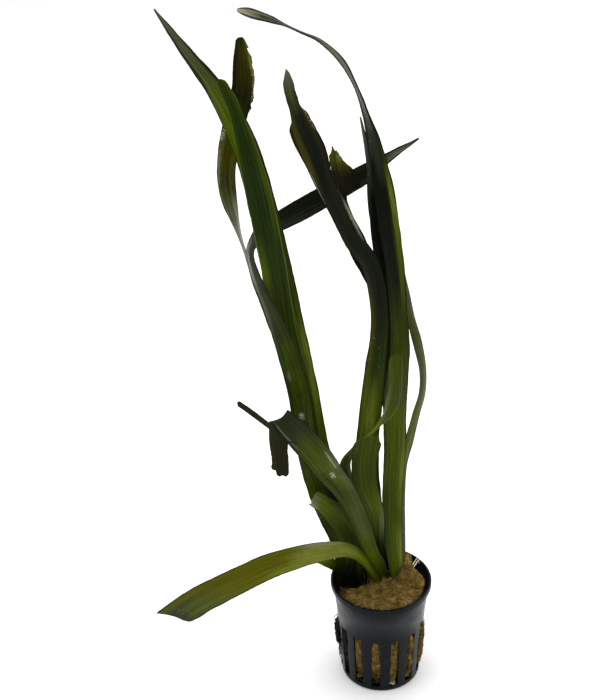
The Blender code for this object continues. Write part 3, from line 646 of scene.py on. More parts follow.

# Colours down each leaf's middle and its two margins: per cent of the way from base to tip, and
# a shade. Slot names a material slot, which nothing in this script reads. Vein, streaks and blotch say
# how strongly those effects show, blotch after its shade. Lined is the share of the length from which
# fine dark lines run, and how dark they are. Thin is the share of the length from which the rim's
# colour spreads inwards. Marks are single spots: where across the blade, how many millimetres along
# it, half their width and half their length, then their shade, their strength, and whether they crumble.
LOOKS = {
    "leaf_tall": {
        # Haze and ash towards the tip are painted sheen: the grey of light on the wet skin.
        "middle": "0 bottle, 20 leaf, 30 sage, 45 leaf, 56 bottle, 76 moss, 83 spring, 90 sage, "
                  "100 ash",
        "left": "0 soot, 30 moss, 60 moss, 80 spring, 90 sage, 100 ash",
        "right": "0 bottle, 12 bottle, 32 spring, 46 lime, 56 leaf, 76 moss, 88 sage, 96 haze, "
                 "100 ash",
        "slot": "leaf_fresh_green", "lined": (0.8, 0.9), "thin": 0.9, "rim": "12180a"},
    "leaf_broad": {
        "middle": "0 ink, 12 leaf, 20 bottle, 50 leaf, 63 moss, 76 bottle, 92 bottle, 100 moss",
        "left": "0 ink, 15 moss, 34 leaf, 42 moss, 60 leaf, 68 spring, 75 bottle, 100 moss",
        "right": "0 bottle, 13 leaf, 20 bottle, 42 leaf, 62 moss, 72 bottle, 83 leaf, 90 moss, "
                 "100 leaf",
        "slot": "leaf_deep_green", "rim": "5c6a3c"},
    "leaf_brown": {
        # The silver and ash near 66 to 70 per cent are a painted highlight on the edge where the blade
        # twists.
        "middle": "0 ink, 15 moss, 50 moss, 58 slate, 70 ash, 75 sage, 80 gold, 86 moss, 91 bark, "
                  "97 gold, 100 umber",
        "left": "0 ink, 50 moss, 59 slate, 66 silver, 70 ash, 76 sage, 84 olive, 89 bark, 100 umber",
        "right": "0 bottle, 50 moss, 68 silver, 76 sage, 82 gold, 90 bark, 96 gold, 100 olive",
        "slot": "leaf_old_brown", "vein": 0.35, "blotch": ("bark", 0.35), "rim": "12110a",
        "marks": (
            (-0.8, 254, 0.3, 3.5, "chalk", 1.0, True), (0.9, 279, 0.22, 10, "dry", 0.9, True),
            (0.86, 288, 0.3, 8, "khaki", 0.8, False), (-0.85, 240, 0.25, 12, "film", 0.6, False),
            (-0.3, 262, 0.35, 10, "umber", 0.8, False))},
    "leaf_crossing": {
        # The ash, silver and steel near 60 to 71 per cent are painted highlights where the blade twists.
        # The ash and film at the tip are painted sheen.
        "middle": "0 ink, 12 leaf, 28 moss, 46 leaf, 55 moss, 63 steel, 75 soot, 85 ink, 92 soot, "
                  "96 ash, 100 slate",
        "left": "0 soot, 20 leaf, 50 moss, 60 ash, 66 silver, 71 steel, 76 soot, 94 slate, 100 ash",
        "right": "0 ink, 12 leaf, 20 bottle, 40 leaf, 50 moss, 62 slate, 84 ink, 91 slate, 96 film, "
                 "100 ash",
        "slot": "leaf_black_green", "blotch": ("soot", 0.35),
        "lined": (0.72, 0.6), "thin": 0.94,
        "marks": (
            (-0.04, 119.5, 0.34, 3.2, "chalk", 1.0, True), (-0.5, 144, 0.2, 4, "film", 0.8, True),
            # The dark ink mark at 115 mm is a painted shadow cast by the folded leaf's edge.
            (-0.1, 115, 0.7, 4, "ink", 0.75, False))},
    "leaf_cut": {
        "middle": "0 ink, 25 soot, 50 moss, 75 leaf, 92 spring, 100 haze",
        "left": "0 ink, 25 soot, 45 sage, 70 leaf, 90 spring, 100 film",
        "right": "0 soot, 40 moss, 60 leaf, 85 moss, 100 spring",
        "slot": "leaf_fresh_green", "streaks": 0.35},
    "leaf_stub": {
        "middle": "0 ink, 25 ink, 40 moss, 56 spring, 70 khaki, 100 lime",
        "left": "0 ink, 25 soot, 45 moss, 60 olive, 80 khaki, 100 lime",
        "right": "0 ink, 30 soot, 48 leaf, 65 khaki, 100 khaki",
        "slot": "leaf_olive", "vein": 0.25},
    "leaf_drooping": {
        "middle": "0 spring, 26 lime, 36 khaki, 44 khaki, 52 olive, 74 olive, 87 sage, 100 steel",
        "left": "0 leaf, 20 spring, 40 khaki, 50 lime, 62 olive, 84 sage, 100 steel",
        "right": "0 moss, 22 moss, 34 lime, 40 khaki, 50 olive, 90 olive, 100 sage",
        "slot": "leaf_olive", "streaks": 0.26, "blotch": ("olive", 0.4), "rim": "23240e",
        # The film mark at 55 mm is a painted highlight on the crest of the bend, where the blade faces
        # up.
        "marks": ((0.75, 55, 0.35, 14, "film", 0.45, False),)},
    "leaf_folded": {
        # The umber, bark and ink from about 87 per cent darken the hanging end as painted shade.
        "middle": "0 leaf, 12 spring, 30 sage, 42 leaf, 50 spring, 66 leaf, 73 slate, 82 slate, "
                  "87 umber, 100 bark",
        "left": "0 leaf, 8 moss, 40 moss, 48 leaf, 64 leaf, 71 slate, 83 slate, 88 umber, 100 umber",
        "right": "0 bottle, 12 sage, 30 leaf, 42 sage, 54 haze, 62 leaf, 70 slate, 83 slate, 90 umber, "
                 "100 ink",
        "slot": "leaf_deep_green", "streaks": 0.34, "blotch": ("moss", 0.3), "rim": "0d1006",
        "marks": (
            # The gloss mark at 101 mm is a painted highlight on the curve of the fold.
            (0.04, 91, 0.26, 3.4, "chalk", 1.0, True), (0.6, 101, 0.1, 8, "gloss", 0.8, False),
            (-0.45, 84, 0.3, 14, "bottle", 0.7, False), (-0.74, 129, 0.07, 16, "film", 0.45, False))},
    "leaf_blunt": {
        "middle": "0 moss, 14 bottle, 24 soot, 36 leaf, 50 spring, 66 leaf, 100 leaf",
        "left": "0 moss, 12 leaf, 30 moss, 60 leaf, 80 moss, 100 leaf",
        "right": "0 bottle, 24 bottle, 40 haze, 54 spring, 70 leaf, 100 leaf",
        "slot": "leaf_olive", "vein": 0.25, "streaks": 0.3, "rim": "1a2008"},
    "leaf_twisting": {
        "middle": "0 moss, 22 leaf, 54 moss, 62 leaf, 68 lime, 76 leaf, 86 leaf, 100 leaf",
        "left": "0 leaf, 30 spring, 50 leaf, 68 spring, 76 haze, 90 sage, 100 leaf",
        "right": "0 bottle, 35 moss, 47 haze, 54 moss, 68 leaf, 85 sage, 100 leaf",
        "slot": "leaf_fresh_green", "vein": 0.25, "rim": "5c6636"},
    "leaf_torn_dark": {
        # The ash at the tip is a painted highlight over the tip's own grey-green.
        "middle": "0 bottle, 12 spring, 26 leaf, 33 lime, 42 moss, 55 soot, 75 soot, 82 ink, 92 soot, "
                  "97 sage, 100 ash",
        "left": "0 moss, 20 leaf, 33 spring, 52 gold, 62 slate, 79 soot, 83 gold, 90 gold, 95 umber, "
                "100 sage",
        "right": "0 bottle, 12 lime, 28 leaf, 40 moss, 60 soot, 70 soot, 84 bark, 90 umber, 97 slate, "
                 "100 ash",
        "slot": "leaf_black_green", "lined": (0.4, 0.55), "rim": "0c0e06",
        "marks": (
            (0.86, 215, 0.24, 15, "film", 0.9, False), (-0.95, 238, 0.14, 12, "film", 0.8, False),
            # The ash mark at 291.5 mm is a painted highlight at the tip.
            (0.9, 270, 0.22, 8, "dry", 0.7, True), (-0.3, 291.5, 0.4, 2, "ash", 0.7, False))},
    "leaf_torn_brown": {
        # The ink from 86 to 92.5 per cent is painted shadow on the lower part of the torn flap.
        "middle": "0 bottle, 12 spring, 30 leaf, 42 leaf, 50 moss, 62 soot, 86 ink, 92.5 bark, "
                  "95 gold, 97 olive, 100 olive",
        "left": "0 moss, 30 leaf, 50 gold, 60 moss, 70 soot, 94 bark, 100 olive",
        "right": "0 bottle, 30 leaf, 42 moss, 60 soot, 92.5 ink, 95.5 gold, 100 khaki",
        "slot": "leaf_old_brown", "blotch": ("umber", 0.4),
        "lined": (0.45, 0.5), "rim": "12120a",
        "marks": ((0.1, 236, 0.5, 3, "dry", 0.7, True),)},
    "leaf_arching": {
        # From 74 to 96.5 per cent the steel, silver, film, ash and chalk grey the upper blade as a
        # painted reflection of the pale room. The lime on the right margin near 65 per cent is a painted
        # highlight.
        "middle": "0 spring, 12 leaf, 30 spring, 42 leaf, 52 soot, 66 ink, 74 steel, 79 silver, "
                  "86 film, 90 slate, 93 ash, 96.5 steel, 100 bone",
        "left": "0 leaf, 10 moss, 30 leaf, 44 moss, 55 soot, 70 ink, 77 ash, 82 silver, 88 slate, "
                "95 slate, 100 bone",
        "right": "0 khaki, 7 khaki, 11 spring, 20 lime, 34 sage, 46 moss, 57 spring, 65 lime, 70 moss, "
                 "74 slate, 84 steel, 89 chalk, 95 ash, 100 bone",
        "slot": "leaf_black_green", "lined": (0.7, 0.95), "thin": 0.76, "rim": "0e1008"},
    "leaf_narrow": {
        # The steel, silver and ash at the tip are painted sheen: the grey of light on the wet skin.
        "middle": "0 bottle, 20 leaf, 40 haze, 50 moss, 62 soot, 85 ink, 100 ash",
        "left": "0 bottle, 28 leaf, 42 sage, 60 soot, 80 soot, 90 steel, 100 silver",
        "right": "0 moss, 40 sage, 60 soot, 85 ink, 100 slate",
        "slot": "leaf_black_green", "lined": (0.5, 0.5), "rim": "0a0c05"},
    "leaf_bowed": {
        # The gloss and silver at 10 per cent are painted sheen where the blade twists near its base.
        "middle": "0 khaki, 10 gloss, 20 sage, 32 lime, 50 sage, 62 olive, 82 spring, 100 moss",
        "left": "0 sage, 20 leaf, 35 spring, 50 sage, 72 leaf, 100 moss",
        "right": "0 khaki, 10 silver, 25 haze, 50 khaki, 66 sage, 85 spring, 100 moss",
        "slot": "leaf_fresh_green", "vein": 0.25, "rim": "23280c"},
}


def shade_stops(text):
    """Read a ramp such as 0 bottle, 20 leaf, 100 ash."""
    stops = []
    for stop in text.split(", "):
        place, name = stop.split()
        stops.append((float(place) / 100, SHADES[name]))
    return stops


def leaf_finish(name, look, veins, groups, seed):
    """The wet, streaked skin of one leaf."""
    finish, sheet, shader = new_finish(name + "_skin")
    strap = sheet.add("ShaderNodeAttribute", attribute_name="strap").outputs["Vector"]
    parts = sheet.add("ShaderNodeSeparateXYZ", {0: strap}).outputs
    across, along, length = parts["X"], parts["Y"], parts["Z"]
    place = sheet.add("ShaderNodeTexCoord").outputs["Object"]
    vein = sheet.group(groups["veins"], Across=across, Length=length, Veins=float(veins + 1),
                       Seed=float(seed))
    wear = sheet.group(groups["wear"], Place=place, Seed=float(seed))

    # Three bands of colour across the blade, whose borders wander along it
    middle, left, right = (
        sheet.ramp(along, shade_stops(look[key])) for key in ("middle", "left", "right"))
    border = sheet.plus(across, sheet.times(sheet.maths("SUBTRACT", vein["Streak"], 0.5), 1.3))
    colour = sheet.mix(sheet.between(border, 0.2, 0.75), middle, right)
    colour = sheet.mix(sheet.between(border, -0.75, -0.2, 1.0, 0.0), colour, left)

    # Streaks and veins
    contrast = look.get("streaks", 0.5)
    light = sheet.between(vein["Streak"], 0.36, 0.64, 1.02 - contrast, 1.02 + contrast)
    grey = sheet.add("ShaderNodeCombineXYZ", {0: light, 1: light, 2: light}).outputs[0]
    colour = sheet.mix(1.0, colour, grey, "MULTIPLY")
    pale = sheet.mix(1.0, colour, (1.5, 1.45, 1.3, 1), "MULTIPLY")
    amount = look.get("vein", 0.3)
    colour = sheet.mix(sheet.times(vein["Line"], amount), colour, pale)
    colour = sheet.mix(sheet.times(vein["Net"], 0.6 * amount), colour, pale)

    # Decay, and the fine dark lines of thin, faded parts
    if "blotch" in look:
        shade, amount = look["blotch"]
        colour = sheet.mix(sheet.times(wear["Blotch"], amount), colour, paint(SHADES[shade]))
    start, amount = look.get("lined", (0.0, 0.15))
    lined = sheet.times(vein["Thread"], sheet.between(along, start - 0.05, start + 0.05, 0.1, amount))
    colour = sheet.mix(lined, colour, sheet.mix(1.0, colour, (0.16, 0.18, 0.16, 1), "MULTIPLY"))

    # Single spots, some of them painted shadows and painted highlights, the rim, and specks of lime
    for over, reach, wide, long, shade, strength, crumbles in look.get("marks", ()):
        spot = sheet.group(groups["spot"], Across=across, Length=length, Place=place, At=float(over),
                           Along=reach * MM, Wide=float(wide), Long=long * MM)
        amount = sheet.times(spot["Crumbs" if crumbles else "Soft"], strength)
        colour = sheet.mix(amount, colour, paint(SHADES[shade]))
    thin = sheet.between(along, look.get("thin", 1.1) - 0.06, look.get("thin", 1.1), 0.0, 0.34)
    edge = sheet.between(sheet.plus(sheet.maths("ABSOLUTE", across), thin), 0.88, 0.98)
    colour = sheet.mix(sheet.times(edge, 0.85), colour, paint(look.get("rim", "12160a")))
    colour = sheet.mix(sheet.times(wear["Speck"], 0.35), colour, paint(SHADES["dry"]))
    inputs = {"Saturation": 1.06, "Value": 0.91, "Color": colour}
    colour = sheet.add("ShaderNodeHueSaturation", inputs).outputs["Color"]

    gloss = sheet.between(vein["Streak"], 0.3, 0.7, 0.28, 0.45)
    gloss = sheet.maths("ADD", gloss, sheet.times(wear["Speck"], 0.3), clamp=True)
    height = sheet.plus(vein["Relief"], sheet.times(wear["Speck"], 0.6))
    coat(sheet, shader, colour, gloss, 0.05, (height, 0.6, 0.00015))
    return finish


def make_leaves(groups):
    for index, name in enumerate(LOOKS):
        seed = 100 * (index + 1)
        shells = [blade(name, seed)]
        if name == "leaf_folded":
            shells.append(blade("split_strip", seed + 60))
            shells[1].marks["strap"][:, 1] = FOLDED_STRIP_SHARE
            shells[1].marks["strap"][:, 2] += FOLDED_STRIP_PLACE
        look = LOOKS[name]
        finish = leaf_finish(name, look, FORMS[name].get("veins", VEINS), groups, seed)
        piece(name + "_blade", shells, finish, name, sharp=55)


# Net pot

def slotted_shell(outside, inside, slots, half_width, radial):
    """A turned wall of two skins with straight-sided slots cut through it.

    Outside and inside are matching profiles of (radius, height). The slots span the rows of the
    profile from slots[0] to slots[1], and radial is the number of slots.
    """
    over_slot = (-1.0, -0.5, 0.0, 0.5, 1.0)
    over_bar = [step / 7 for step in range(1, 7)]
    columns = []
    for index in range(radial):
        columns += [(index, place, 0.0) for place in over_slot]
        columns += [(index, 1.0, share) for share in over_bar]
    width = len(columns)
    repeat = width // radial
    pitch = 2 * math.pi / radial

    def skin(profile):
        points = []
        for radius, height in profile:
            half = math.asin(min(half_width / max(radius, half_width * 1.2), 0.9))
            for index, place, share in columns:
                turn = index * pitch + place * half + share * (pitch - 2 * half)
                points.append((radius * math.sin(turn), -radius * math.cos(turn), height))
        return points

    rows = len(outside)
    points = skin(outside) + skin(inside)
    flip = rows * width
    faces = []

    def is_open(row, column):
        return slots[0] <= row < slots[1] and column % repeat < len(over_slot) - 1

    for row in range(rows - 1):
        for column in range(width):
            after = (column + 1) % width
            if is_open(row, column):
                continue
            a, b = row * width + column, row * width + after
            c, d = a + width, b + width
            faces.append((a, c, d, b))
            faces.append((a + flip, b + flip, d + flip, c + flip))
            if is_open(row, after):
                faces.append((b, d, d + flip, b + flip))
            if is_open(row, (column - 1) % width):
                faces.append((c, a, a + flip, c + flip))
            if is_open(row + 1, column) and row + 1 < rows - 1:
                faces.append((d, c, c + flip, d + flip))
            if row > 0 and is_open(row - 1, column):
                faces.append((a, b, b + flip, a + flip))
    for row, turned in ((0, False), (rows - 1, True)):
        for column in range(width):
            a, b = row * width + column, row * width + (column + 1) % width
            rim = (a, b, b + flip, a + flip)
            faces.append(rim[::-1] if turned else rim)
    return Shell(points, faces)


def make_pot(groups):
    wall_top = POT_HEIGHT - LIP_HEIGHT
    inner = WALL_TOP_RADIUS - WALL
    band = wall_radius(BAND_HEIGHT)
    below_band = BAND_HEIGHT - EDGE / 2
    low, high = wall_radius(SLOT_LOW) - BAND_STEP, wall_radius(SLOT_HIGH) - BAND_STEP
    slot_middle = (SLOT_HIGH + SLOT_LOW) / 2
    flare = RIM_RADIUS - WALL
    floor_radius = BASE_RADIUS - BAND_STEP - EDGE
    outside = [
        (flare + 0.3, POT_HEIGHT), (RIM_RADIUS - EDGE / 2, POT_HEIGHT - 0.02),
        (RIM_RADIUS, POT_HEIGHT - EDGE / 2), (RIM_RADIUS, wall_top + EDGE / 4),
        (RIM_RADIUS - EDGE / 4, wall_top), (WALL_TOP_RADIUS, wall_top), (band, BAND_HEIGHT),
        (band - BAND_STEP, below_band), (high, SLOT_HIGH), ((high + low) / 2, slot_middle),
        (low, SLOT_LOW), (wall_radius(EDGE) - BAND_STEP, EDGE), (floor_radius, 0.0)]
    inside = [
        (flare, POT_HEIGHT), (flare - 0.05, POT_HEIGHT - 0.3), (flare - 0.1, POT_HEIGHT - 0.7),
        (flare - 0.35, wall_top + 1.2), (flare - 0.8, wall_top), (inner, wall_top - 1.0),
        (band - BAND_STEP - WALL + 0.1, BAND_HEIGHT), (band - BAND_STEP - WALL, below_band),
        (high - WALL, SLOT_HIGH), ((high + low) / 2 - WALL, slot_middle), (low - WALL, SLOT_LOW),
        (low - WALL - 0.05, FLOOR + 0.3), (low - WALL - 0.5, FLOOR)]
    wall = slotted_shell(outside, inside, (8, 10), SLOT_WIDTH / 2, SLOT_COUNT)
    turn = slot_turn(0)
    spin = [[math.cos(turn), -math.sin(turn), 0], [math.sin(turn), math.cos(turn), 0], [0, 0, 1]]
    wall.points = wall.points @ np.array(spin).T
    slot_half = (FLOOR_SLOT_FAR + FLOOR_SLOT_NEAR) / 2
    steps = (floor_radius, FLOOR_SLOT_FAR, slot_half, FLOOR_SLOT_NEAR, HUB_RADIUS)
    under = [(radius, 0.0) for radius in steps]
    above = [(radius, FLOOR) for radius in steps]
    floor = slotted_shell(under, above, (1, 3), FLOOR_SLOT_WIDTH / 2, FLOOR_SLOT_COUNT)
    turn = np.linspace(0, 2 * math.pi, 48, endpoint=False)
    ring = (HUB_RADIUS + 0.05) * np.stack([np.sin(turn), -np.cos(turn), 0 * turn], -1)
    hub = Shell(np.vstack([ring, ring + (0, 0, FLOOR)]), loop_faces(2, len(turn)))
    finish = pot_finish(groups)
    pot = piece("net_pot_body", [wall, floor, hub], finish, "net_pot", sharp=35)
    round_off = pot.modifiers.new("edges", "BEVEL")
    round_off.width = SOFTENED_EDGE * MM
    round_off.segments = 2
    round_off.limit_method = "ANGLE"
    round_off.angle_limit = math.radians(50)
    round_off.harden_normals = False


def make_scuff_group():
    """Fine moulded texture, handling marks and dried water on plastic."""
    group, sheet, given, out = new_group("scuffs", "Place", "Grain Haze Scratch")
    place = given["Place"]
    haze = sheet.noise(place, 140.0, detail=4.0, roughness=0.65)
    scratch = sheet.noise(place, 1.0, detail=2.0, stretch=(2400.0, 2400.0, 70.0))
    sheet.put(sheet.noise(place, 2600.0, detail=2.0), out["Grain"])
    sheet.put(sheet.between(haze, 0.45, 0.75), out["Haze"])
    sheet.put(sheet.between(scratch, 0.66, 0.72), out["Scratch"])
    return group


def pot_finish(groups):
    """Dark slate-grey moulded plastic, a little hazy from water."""
    finish, sheet, shader = new_finish("pot_plastic")
    place = sheet.add("ShaderNodeTexCoord").outputs["Object"]
    scuff = sheet.group(groups["scuffs"], Place=place)
    colour = sheet.mix(sheet.times(scuff["Haze"], 0.5), paint("0a0f13"), paint("11191e"))
    colour = sheet.mix(sheet.times(scuff["Scratch"], 0.2), colour, paint("4a5056"))
    gloss = sheet.plus(sheet.times(scuff["Haze"], 0.16), 0.24)
    coat(sheet, shader, colour, gloss, 0.08, (scuff["Grain"], 0.25, 0.00003))
    return finish


# Rock wool

def wool_top(x, y):
    """Height of the wool's upper face, lapped round the leaf bases and piled up at the back right."""
    height = WOOL_FRONT_TOP + WOOL_RISE * smoothstep(-12.0, 14.0, 0.6 * x + 0.8 * y)
    away = (np.degrees(np.arctan2(y, x)) - PILE_BEARING) / PILE_SPREAD
    height += PILE_HEIGHT * np.exp(-away ** 2) * smoothstep(6.0, 13.0, np.hypot(x, y))
    dish = smoothstep(DISH[2], DISH[3], np.hypot(x - DISH[0], y - DISH[1]))
    height += (CROWN_CENTRE[5] - GAP - height) * (1 - dish)
    pocket = smoothstep(8.4, 10.6, np.hypot(x - CROWN_LEFT[0], 1.1 * (y - CROWN_LEFT[1])))
    height -= VOID_DEPTH * np.exp(-((x - VOID[0]) / VOID[2]) ** 2 - ((y - VOID[1]) / VOID[3]) ** 2)
    open_back = smoothstep(-7.0, -11.0, x) * smoothstep(0.0, 3.0, y)
    height += (CROWN_LEFT[4] - GAP - height) * (1 - np.minimum(pocket, 1 - open_back))
    return height


def wool_radius(z, bearing):
    """Plan radius of the wool, drawn in at the foot and at the upper right of the back."""
    wall = wall_radius(z) - BAND_STEP - WALL - 0.1
    foot = WOOL_FOOT_RADIUS + WOOL_FOOT_SPREAD * (z - FLOOR - GAP)
    away = (np.degrees(bearing) - HOLLOW_BEARING) / HOLLOW_SPREAD
    hollow = HOLLOW_DEPTH * np.exp(-away ** 2) * smoothstep(40.0, 52.0, z)
    return np.minimum(wall, foot) - hollow


def wool_lumps(points):
    """How far the wool's upper face swells or sinks at points given in millimetres."""
    level = points * (1, 1, 0)
    return 1.2 * rough(level, 5.0) + 0.9 * rough(level + 40, 2.0)


def wool_mound():
    """The body of the wool, lumpy on top."""
    rings, segments = 110, 170
    level = np.repeat(np.linspace(-1, 1, rings), segments)
    bearing = np.tile(np.linspace(-math.pi, math.pi, segments, endpoint=False), rings)
    foot = FLOOR + GAP
    inset = BASE_RADIUS - 1
    rim_z = wool_top(inset * np.cos(bearing), inset * np.sin(bearing)) - WOOL_EDGE_DROP
    side_z = foot + (rim_z - foot) * np.clip(1 - level / WOOL_SHOULDER, 0, 1)
    radius = wool_radius(side_z, bearing)
    radius = np.where(level > 0, radius * (1 - level), radius)
    radius = np.where(level < WOOL_SHOULDER, radius * (level + 1) / (1 + WOOL_SHOULDER), radius)
    x, y = radius * np.cos(bearing), radius * np.sin(bearing)
    top_z = wool_top(x, y) - WOOL_EDGE_DROP * np.clip(1 - level, 0, 1) ** 8
    z = np.where(level > 0, top_z, np.where(level < WOOL_SHOULDER, foot, side_z))
    points = np.stack([x, y, z], -1)
    points[:, 2] += wool_lumps(points) * smoothstep(-0.05, 0.1, level)
    pull = 1 - 0.03 * np.abs(rough(points + 90, 3.0)) * smoothstep(0.2, 0.0, level)
    points[:, :2] *= pull[:, None]
    tone = np.clip(0.5 + 0.5 * rough(points + 15, 4.0), 0, 1)
    return Shell(points, loop_faces(rings, segments), tone=tone)


# Wool in the slots, by slot: low and high end, width, how far it bulges out, and sideways shift
LOBES = {
    -1: (13.0, 35.0, 4.0, 0.0, 0.2), 0: (18.0, 35.0, 4.2, 0.1, -0.2), 1: (4.6, 35.2, 3.6, 0.2, -0.4),
    2: (7.5, 35.4, 2.9, 0.4, 0.7), 3: (6.5, 37.5, 3.6, 1.6, 1.0), 4: (13.5, 35.0, 4.2, 0.5, 0.0),
    5: (11.0, 35.2, 4.3, 0.1, 0.2), 6: (14.0, 35.0, 3.9, 0.3, -0.2), 7: (12.5, 35.3, 4.2, 0.0, 0.1),
    8: (15.0, 35.0, 4.3, 0.4, 0.0), 9: (13.0, 35.0, 4.0, -0.2, 0.3), 10: (12.0, 35.2, 4.2, 0.1, -0.2),
    -2: (18.0, 35.0, 4.0, -2.6, 0.0),
}


def wool_lobe(index):
    """The wool behind one slot: a rounded, lumpy block."""
    low, high, width, bulge, shift = LOBES[index]
    rows, ring = 44, 28
    turn = np.linspace(0, 2 * math.pi, ring, endpoint=False)
    along = np.linspace(0, 1, rows)
    height = low + (high - low) * along
    outer = wall_radius(height) - BAND_STEP - 0.15
    outer += bulge * np.sin(math.pi * along) ** LOBE_ROUNDING
    squeeze = np.sqrt(np.clip(1 - np.abs(2 * along - 1) ** 10, 0.02, 1))
    cosine, sine = np.cos(turn), np.sin(turn)
    flat_c = np.sign(cosine) * np.abs(cosine) ** 0.5
    flat_s = np.sign(sine) * np.abs(sine) ** 0.5
    sway = shift + (0.6 if index in (2, 3) else 0.25) * wander(height, 6.0, 900 + index)
    side = sway[:, None] + width / 2 * squeeze[:, None] * flat_s
    depth = (outer - LOBE_INNER_RADIUS)[:, None] / 2
    out = LOBE_INNER_RADIUS + depth + depth * flat_c * squeeze[:, None]
    points = in_slot(index, out, side, height[:, None]).reshape(-1, 3)
    swell = 0.22 * rough(points, 2.2) + 0.12 * rough(points + 30, 0.8, 2)
    points += swell[:, None] * in_slot(index, 1.0, 0.0, 0.0)
    # The wool in the slots takes a lower tone than the top of the mound, which makes it darker.
    tone = np.clip(0.34 + 0.6 * rough(points + 60, 2.5), 0, 1)
    return Shell(points, loop_faces(rows, ring), tone=tone)


def radii_of(dice, count, thin, thick, taper):
    """Random radii for many fibres, with one taper."""
    return dice.uniform(thin, thick, count)[:, None] * np.array(taper)


def wool_fibres(count, seed):
    """Fibres matted over the top of the wool."""
    dice = np.random.default_rng(seed)
    bearing = dice.uniform(-math.pi, math.pi, count)
    radius = (wool_radius(FIBRE_LEVEL, bearing) - 0.3) * np.sqrt(dice.uniform(0.0, 1.0, count))
    x, y = radius * np.cos(bearing), radius * np.sin(bearing)
    heading = dice.uniform(0, 2 * math.pi, count)
    curl = dice.normal(0, 0.35, count)
    length = dice.uniform(1.5, 5.0, count)
    steps = len(FIBRE_TAPER)
    paths = np.zeros((count, steps, 3))
    for step in range(steps):
        turned = heading + curl * step
        limit = wool_radius(FIBRE_LEVEL, np.arctan2(y, x)) + 0.2
        inside = np.minimum(limit / np.maximum(np.hypot(x, y), 0.1), 1.0)
        paths[:, step, :2] = np.stack([x * inside, y * inside], -1)
        x = x + length / (steps - 1) * np.cos(turned)
        y = y + length / (steps - 1) * np.sin(turned)
    flat = paths.reshape(-1, 3)
    x, y = flat[:, 0], flat[:, 1]
    edge = np.clip(np.hypot(x, y) / wool_radius(FIBRE_LEVEL, np.arctan2(y, x)), 0, 1)
    flat[:, 2] = wool_top(x, y) - WOOL_EDGE_DROP * edge ** 8
    flat[:, 2] += wool_lumps(flat)
    lift = dice.uniform(-0.15, 0.45, count)[:, None] * np.array((0.2, 0.7, 1.0, 0.8, 0.3))
    paths[:, :, 2] = flat[:, 2].reshape(count, steps) + lift
    radii = radii_of(dice, count, 0.05, 0.11, FIBRE_TAPER)
    return strands(paths, radii, tone=np.clip(dice.normal(0.55, 0.28, count), 0, 1))


# Pale fibres combed over the rim: bearing in degrees from the front, spread, number, and seed
TUFTS = ((-5.0, 8.0, 170, 13), (-32.0, 16.0, 80, 14), (30.0, 12.0, 90, 15))


def wool_tuft(angle, spread, count, seed):
    """The fibres of one tuft."""
    dice = np.random.default_rng(seed)
    steps = len(TUFT_TAPER)
    turn = np.radians(angle + spread * dice.normal(0, 0.5, count))[:, None]
    turn = turn + np.radians(dice.normal(0, 9.0, count))[:, None] * np.linspace(0, 1, steps)
    reach = np.linspace(-3.6, 0.5, steps)[None] + dice.uniform(-4.0, 0.5, count)[:, None]
    out = RIM_RADIUS - WALL + np.minimum(reach, 1.0)
    lift = dice.uniform(0.1, 1.5, count)[:, None] * np.array((0.2, 0.8, 1.0, 0.9, 0.6, 0.3))
    paths = np.stack([out * np.sin(turn), -out * np.cos(turn), POT_HEIGHT - 0.2 + lift], -1)
    radii = radii_of(dice, count, 0.06, 0.13, TUFT_TAPER)
    return strands(paths, radii, tone=np.clip(dice.normal(0.72, 0.3, count), 0, 1.3))


def slot_fibres(seed):
    """Fibres on the faces of the wool in the slots, mostly running up and down."""
    dice = np.random.default_rng(seed)
    each, steps = FIBRES_PER_SLOT, len(FIBRE_TAPER)
    paths = np.zeros((each * len(LOBES), steps, 3))
    for number, (index, (low, high, width, bulge, shift)) in enumerate(LOBES.items()):
        mine = slice(number * each, (number + 1) * each)
        start = dice.uniform(low + 0.5, high - 3.0, each)
        sideways = dice.uniform(-0.46, 0.46, each) * width + shift
        slope = dice.normal(0, 0.25, each)
        length = dice.uniform(1.0, 4.5, each)
        for step in range(steps):
            height = np.clip(start + length * step / (steps - 1), low, high - 0.5)
            share = (height - low) / (high - low)
            out = wall_radius(height) - BAND_STEP - 0.1
            out += bulge * np.sin(math.pi * share) ** LOBE_ROUNDING + dice.uniform(-0.1, 0.16, each)
            paths[mine, step] = in_slot(index, out, sideways + slope * step * 0.3, height)
    radii = radii_of(dice, len(paths), 0.05, 0.1, FIBRE_TAPER)
    return strands(paths, radii, tone=np.clip(dice.normal(0.42, 0.25, len(paths)), 0, 1))


# Short broken bits of fibre behind slots: slot, low and high end, number, tone, and seed
LITTER = ((0, 5.0, 14.0, 36, 0.0, 16), (1, 3.4, 7.0, 34, 1.5, 17), (2, 5.0, 8.5, 20, 0.9, 18),
          (-1, 3.6, 12.5, 24, 0.2, 19))


def slot_litter(index, low, high, count, pale, seed):
    """The bits of fibre behind one slot."""
    dice = np.random.default_rng(seed)
    height = dice.uniform(low, high, count)[:, None]
    side = dice.uniform(-1.6, 1.6, count)[:, None]
    heading = dice.uniform(0, 2 * math.pi, count)[:, None]
    length = dice.uniform(0.5, 1.8, count)[:, None] * np.linspace(-0.5, 0.5, 4)
    out = wall_radius(height) - BAND_STEP - dice.uniform(0.2, 1.4, count)[:, None]
    side = side + length * np.cos(heading)
    paths = in_slot(index, out, side, height + length * np.sin(heading))
    radii = radii_of(dice, count, 0.12, 0.3, (0.5, 1.0, 1.0, 0.5))
    return strands(paths, radii, sides=4, tone=np.clip(dice.normal(pale, 0.3, count), 0, 2))


WOOL_SHADES = (
    (0.16, "1f1608"), (0.36, "4a3a18"), (0.54, "6e5826"), (0.7, "8a7436"), (0.86, "b49c56"),
    (1.0, "d2c6a4"))


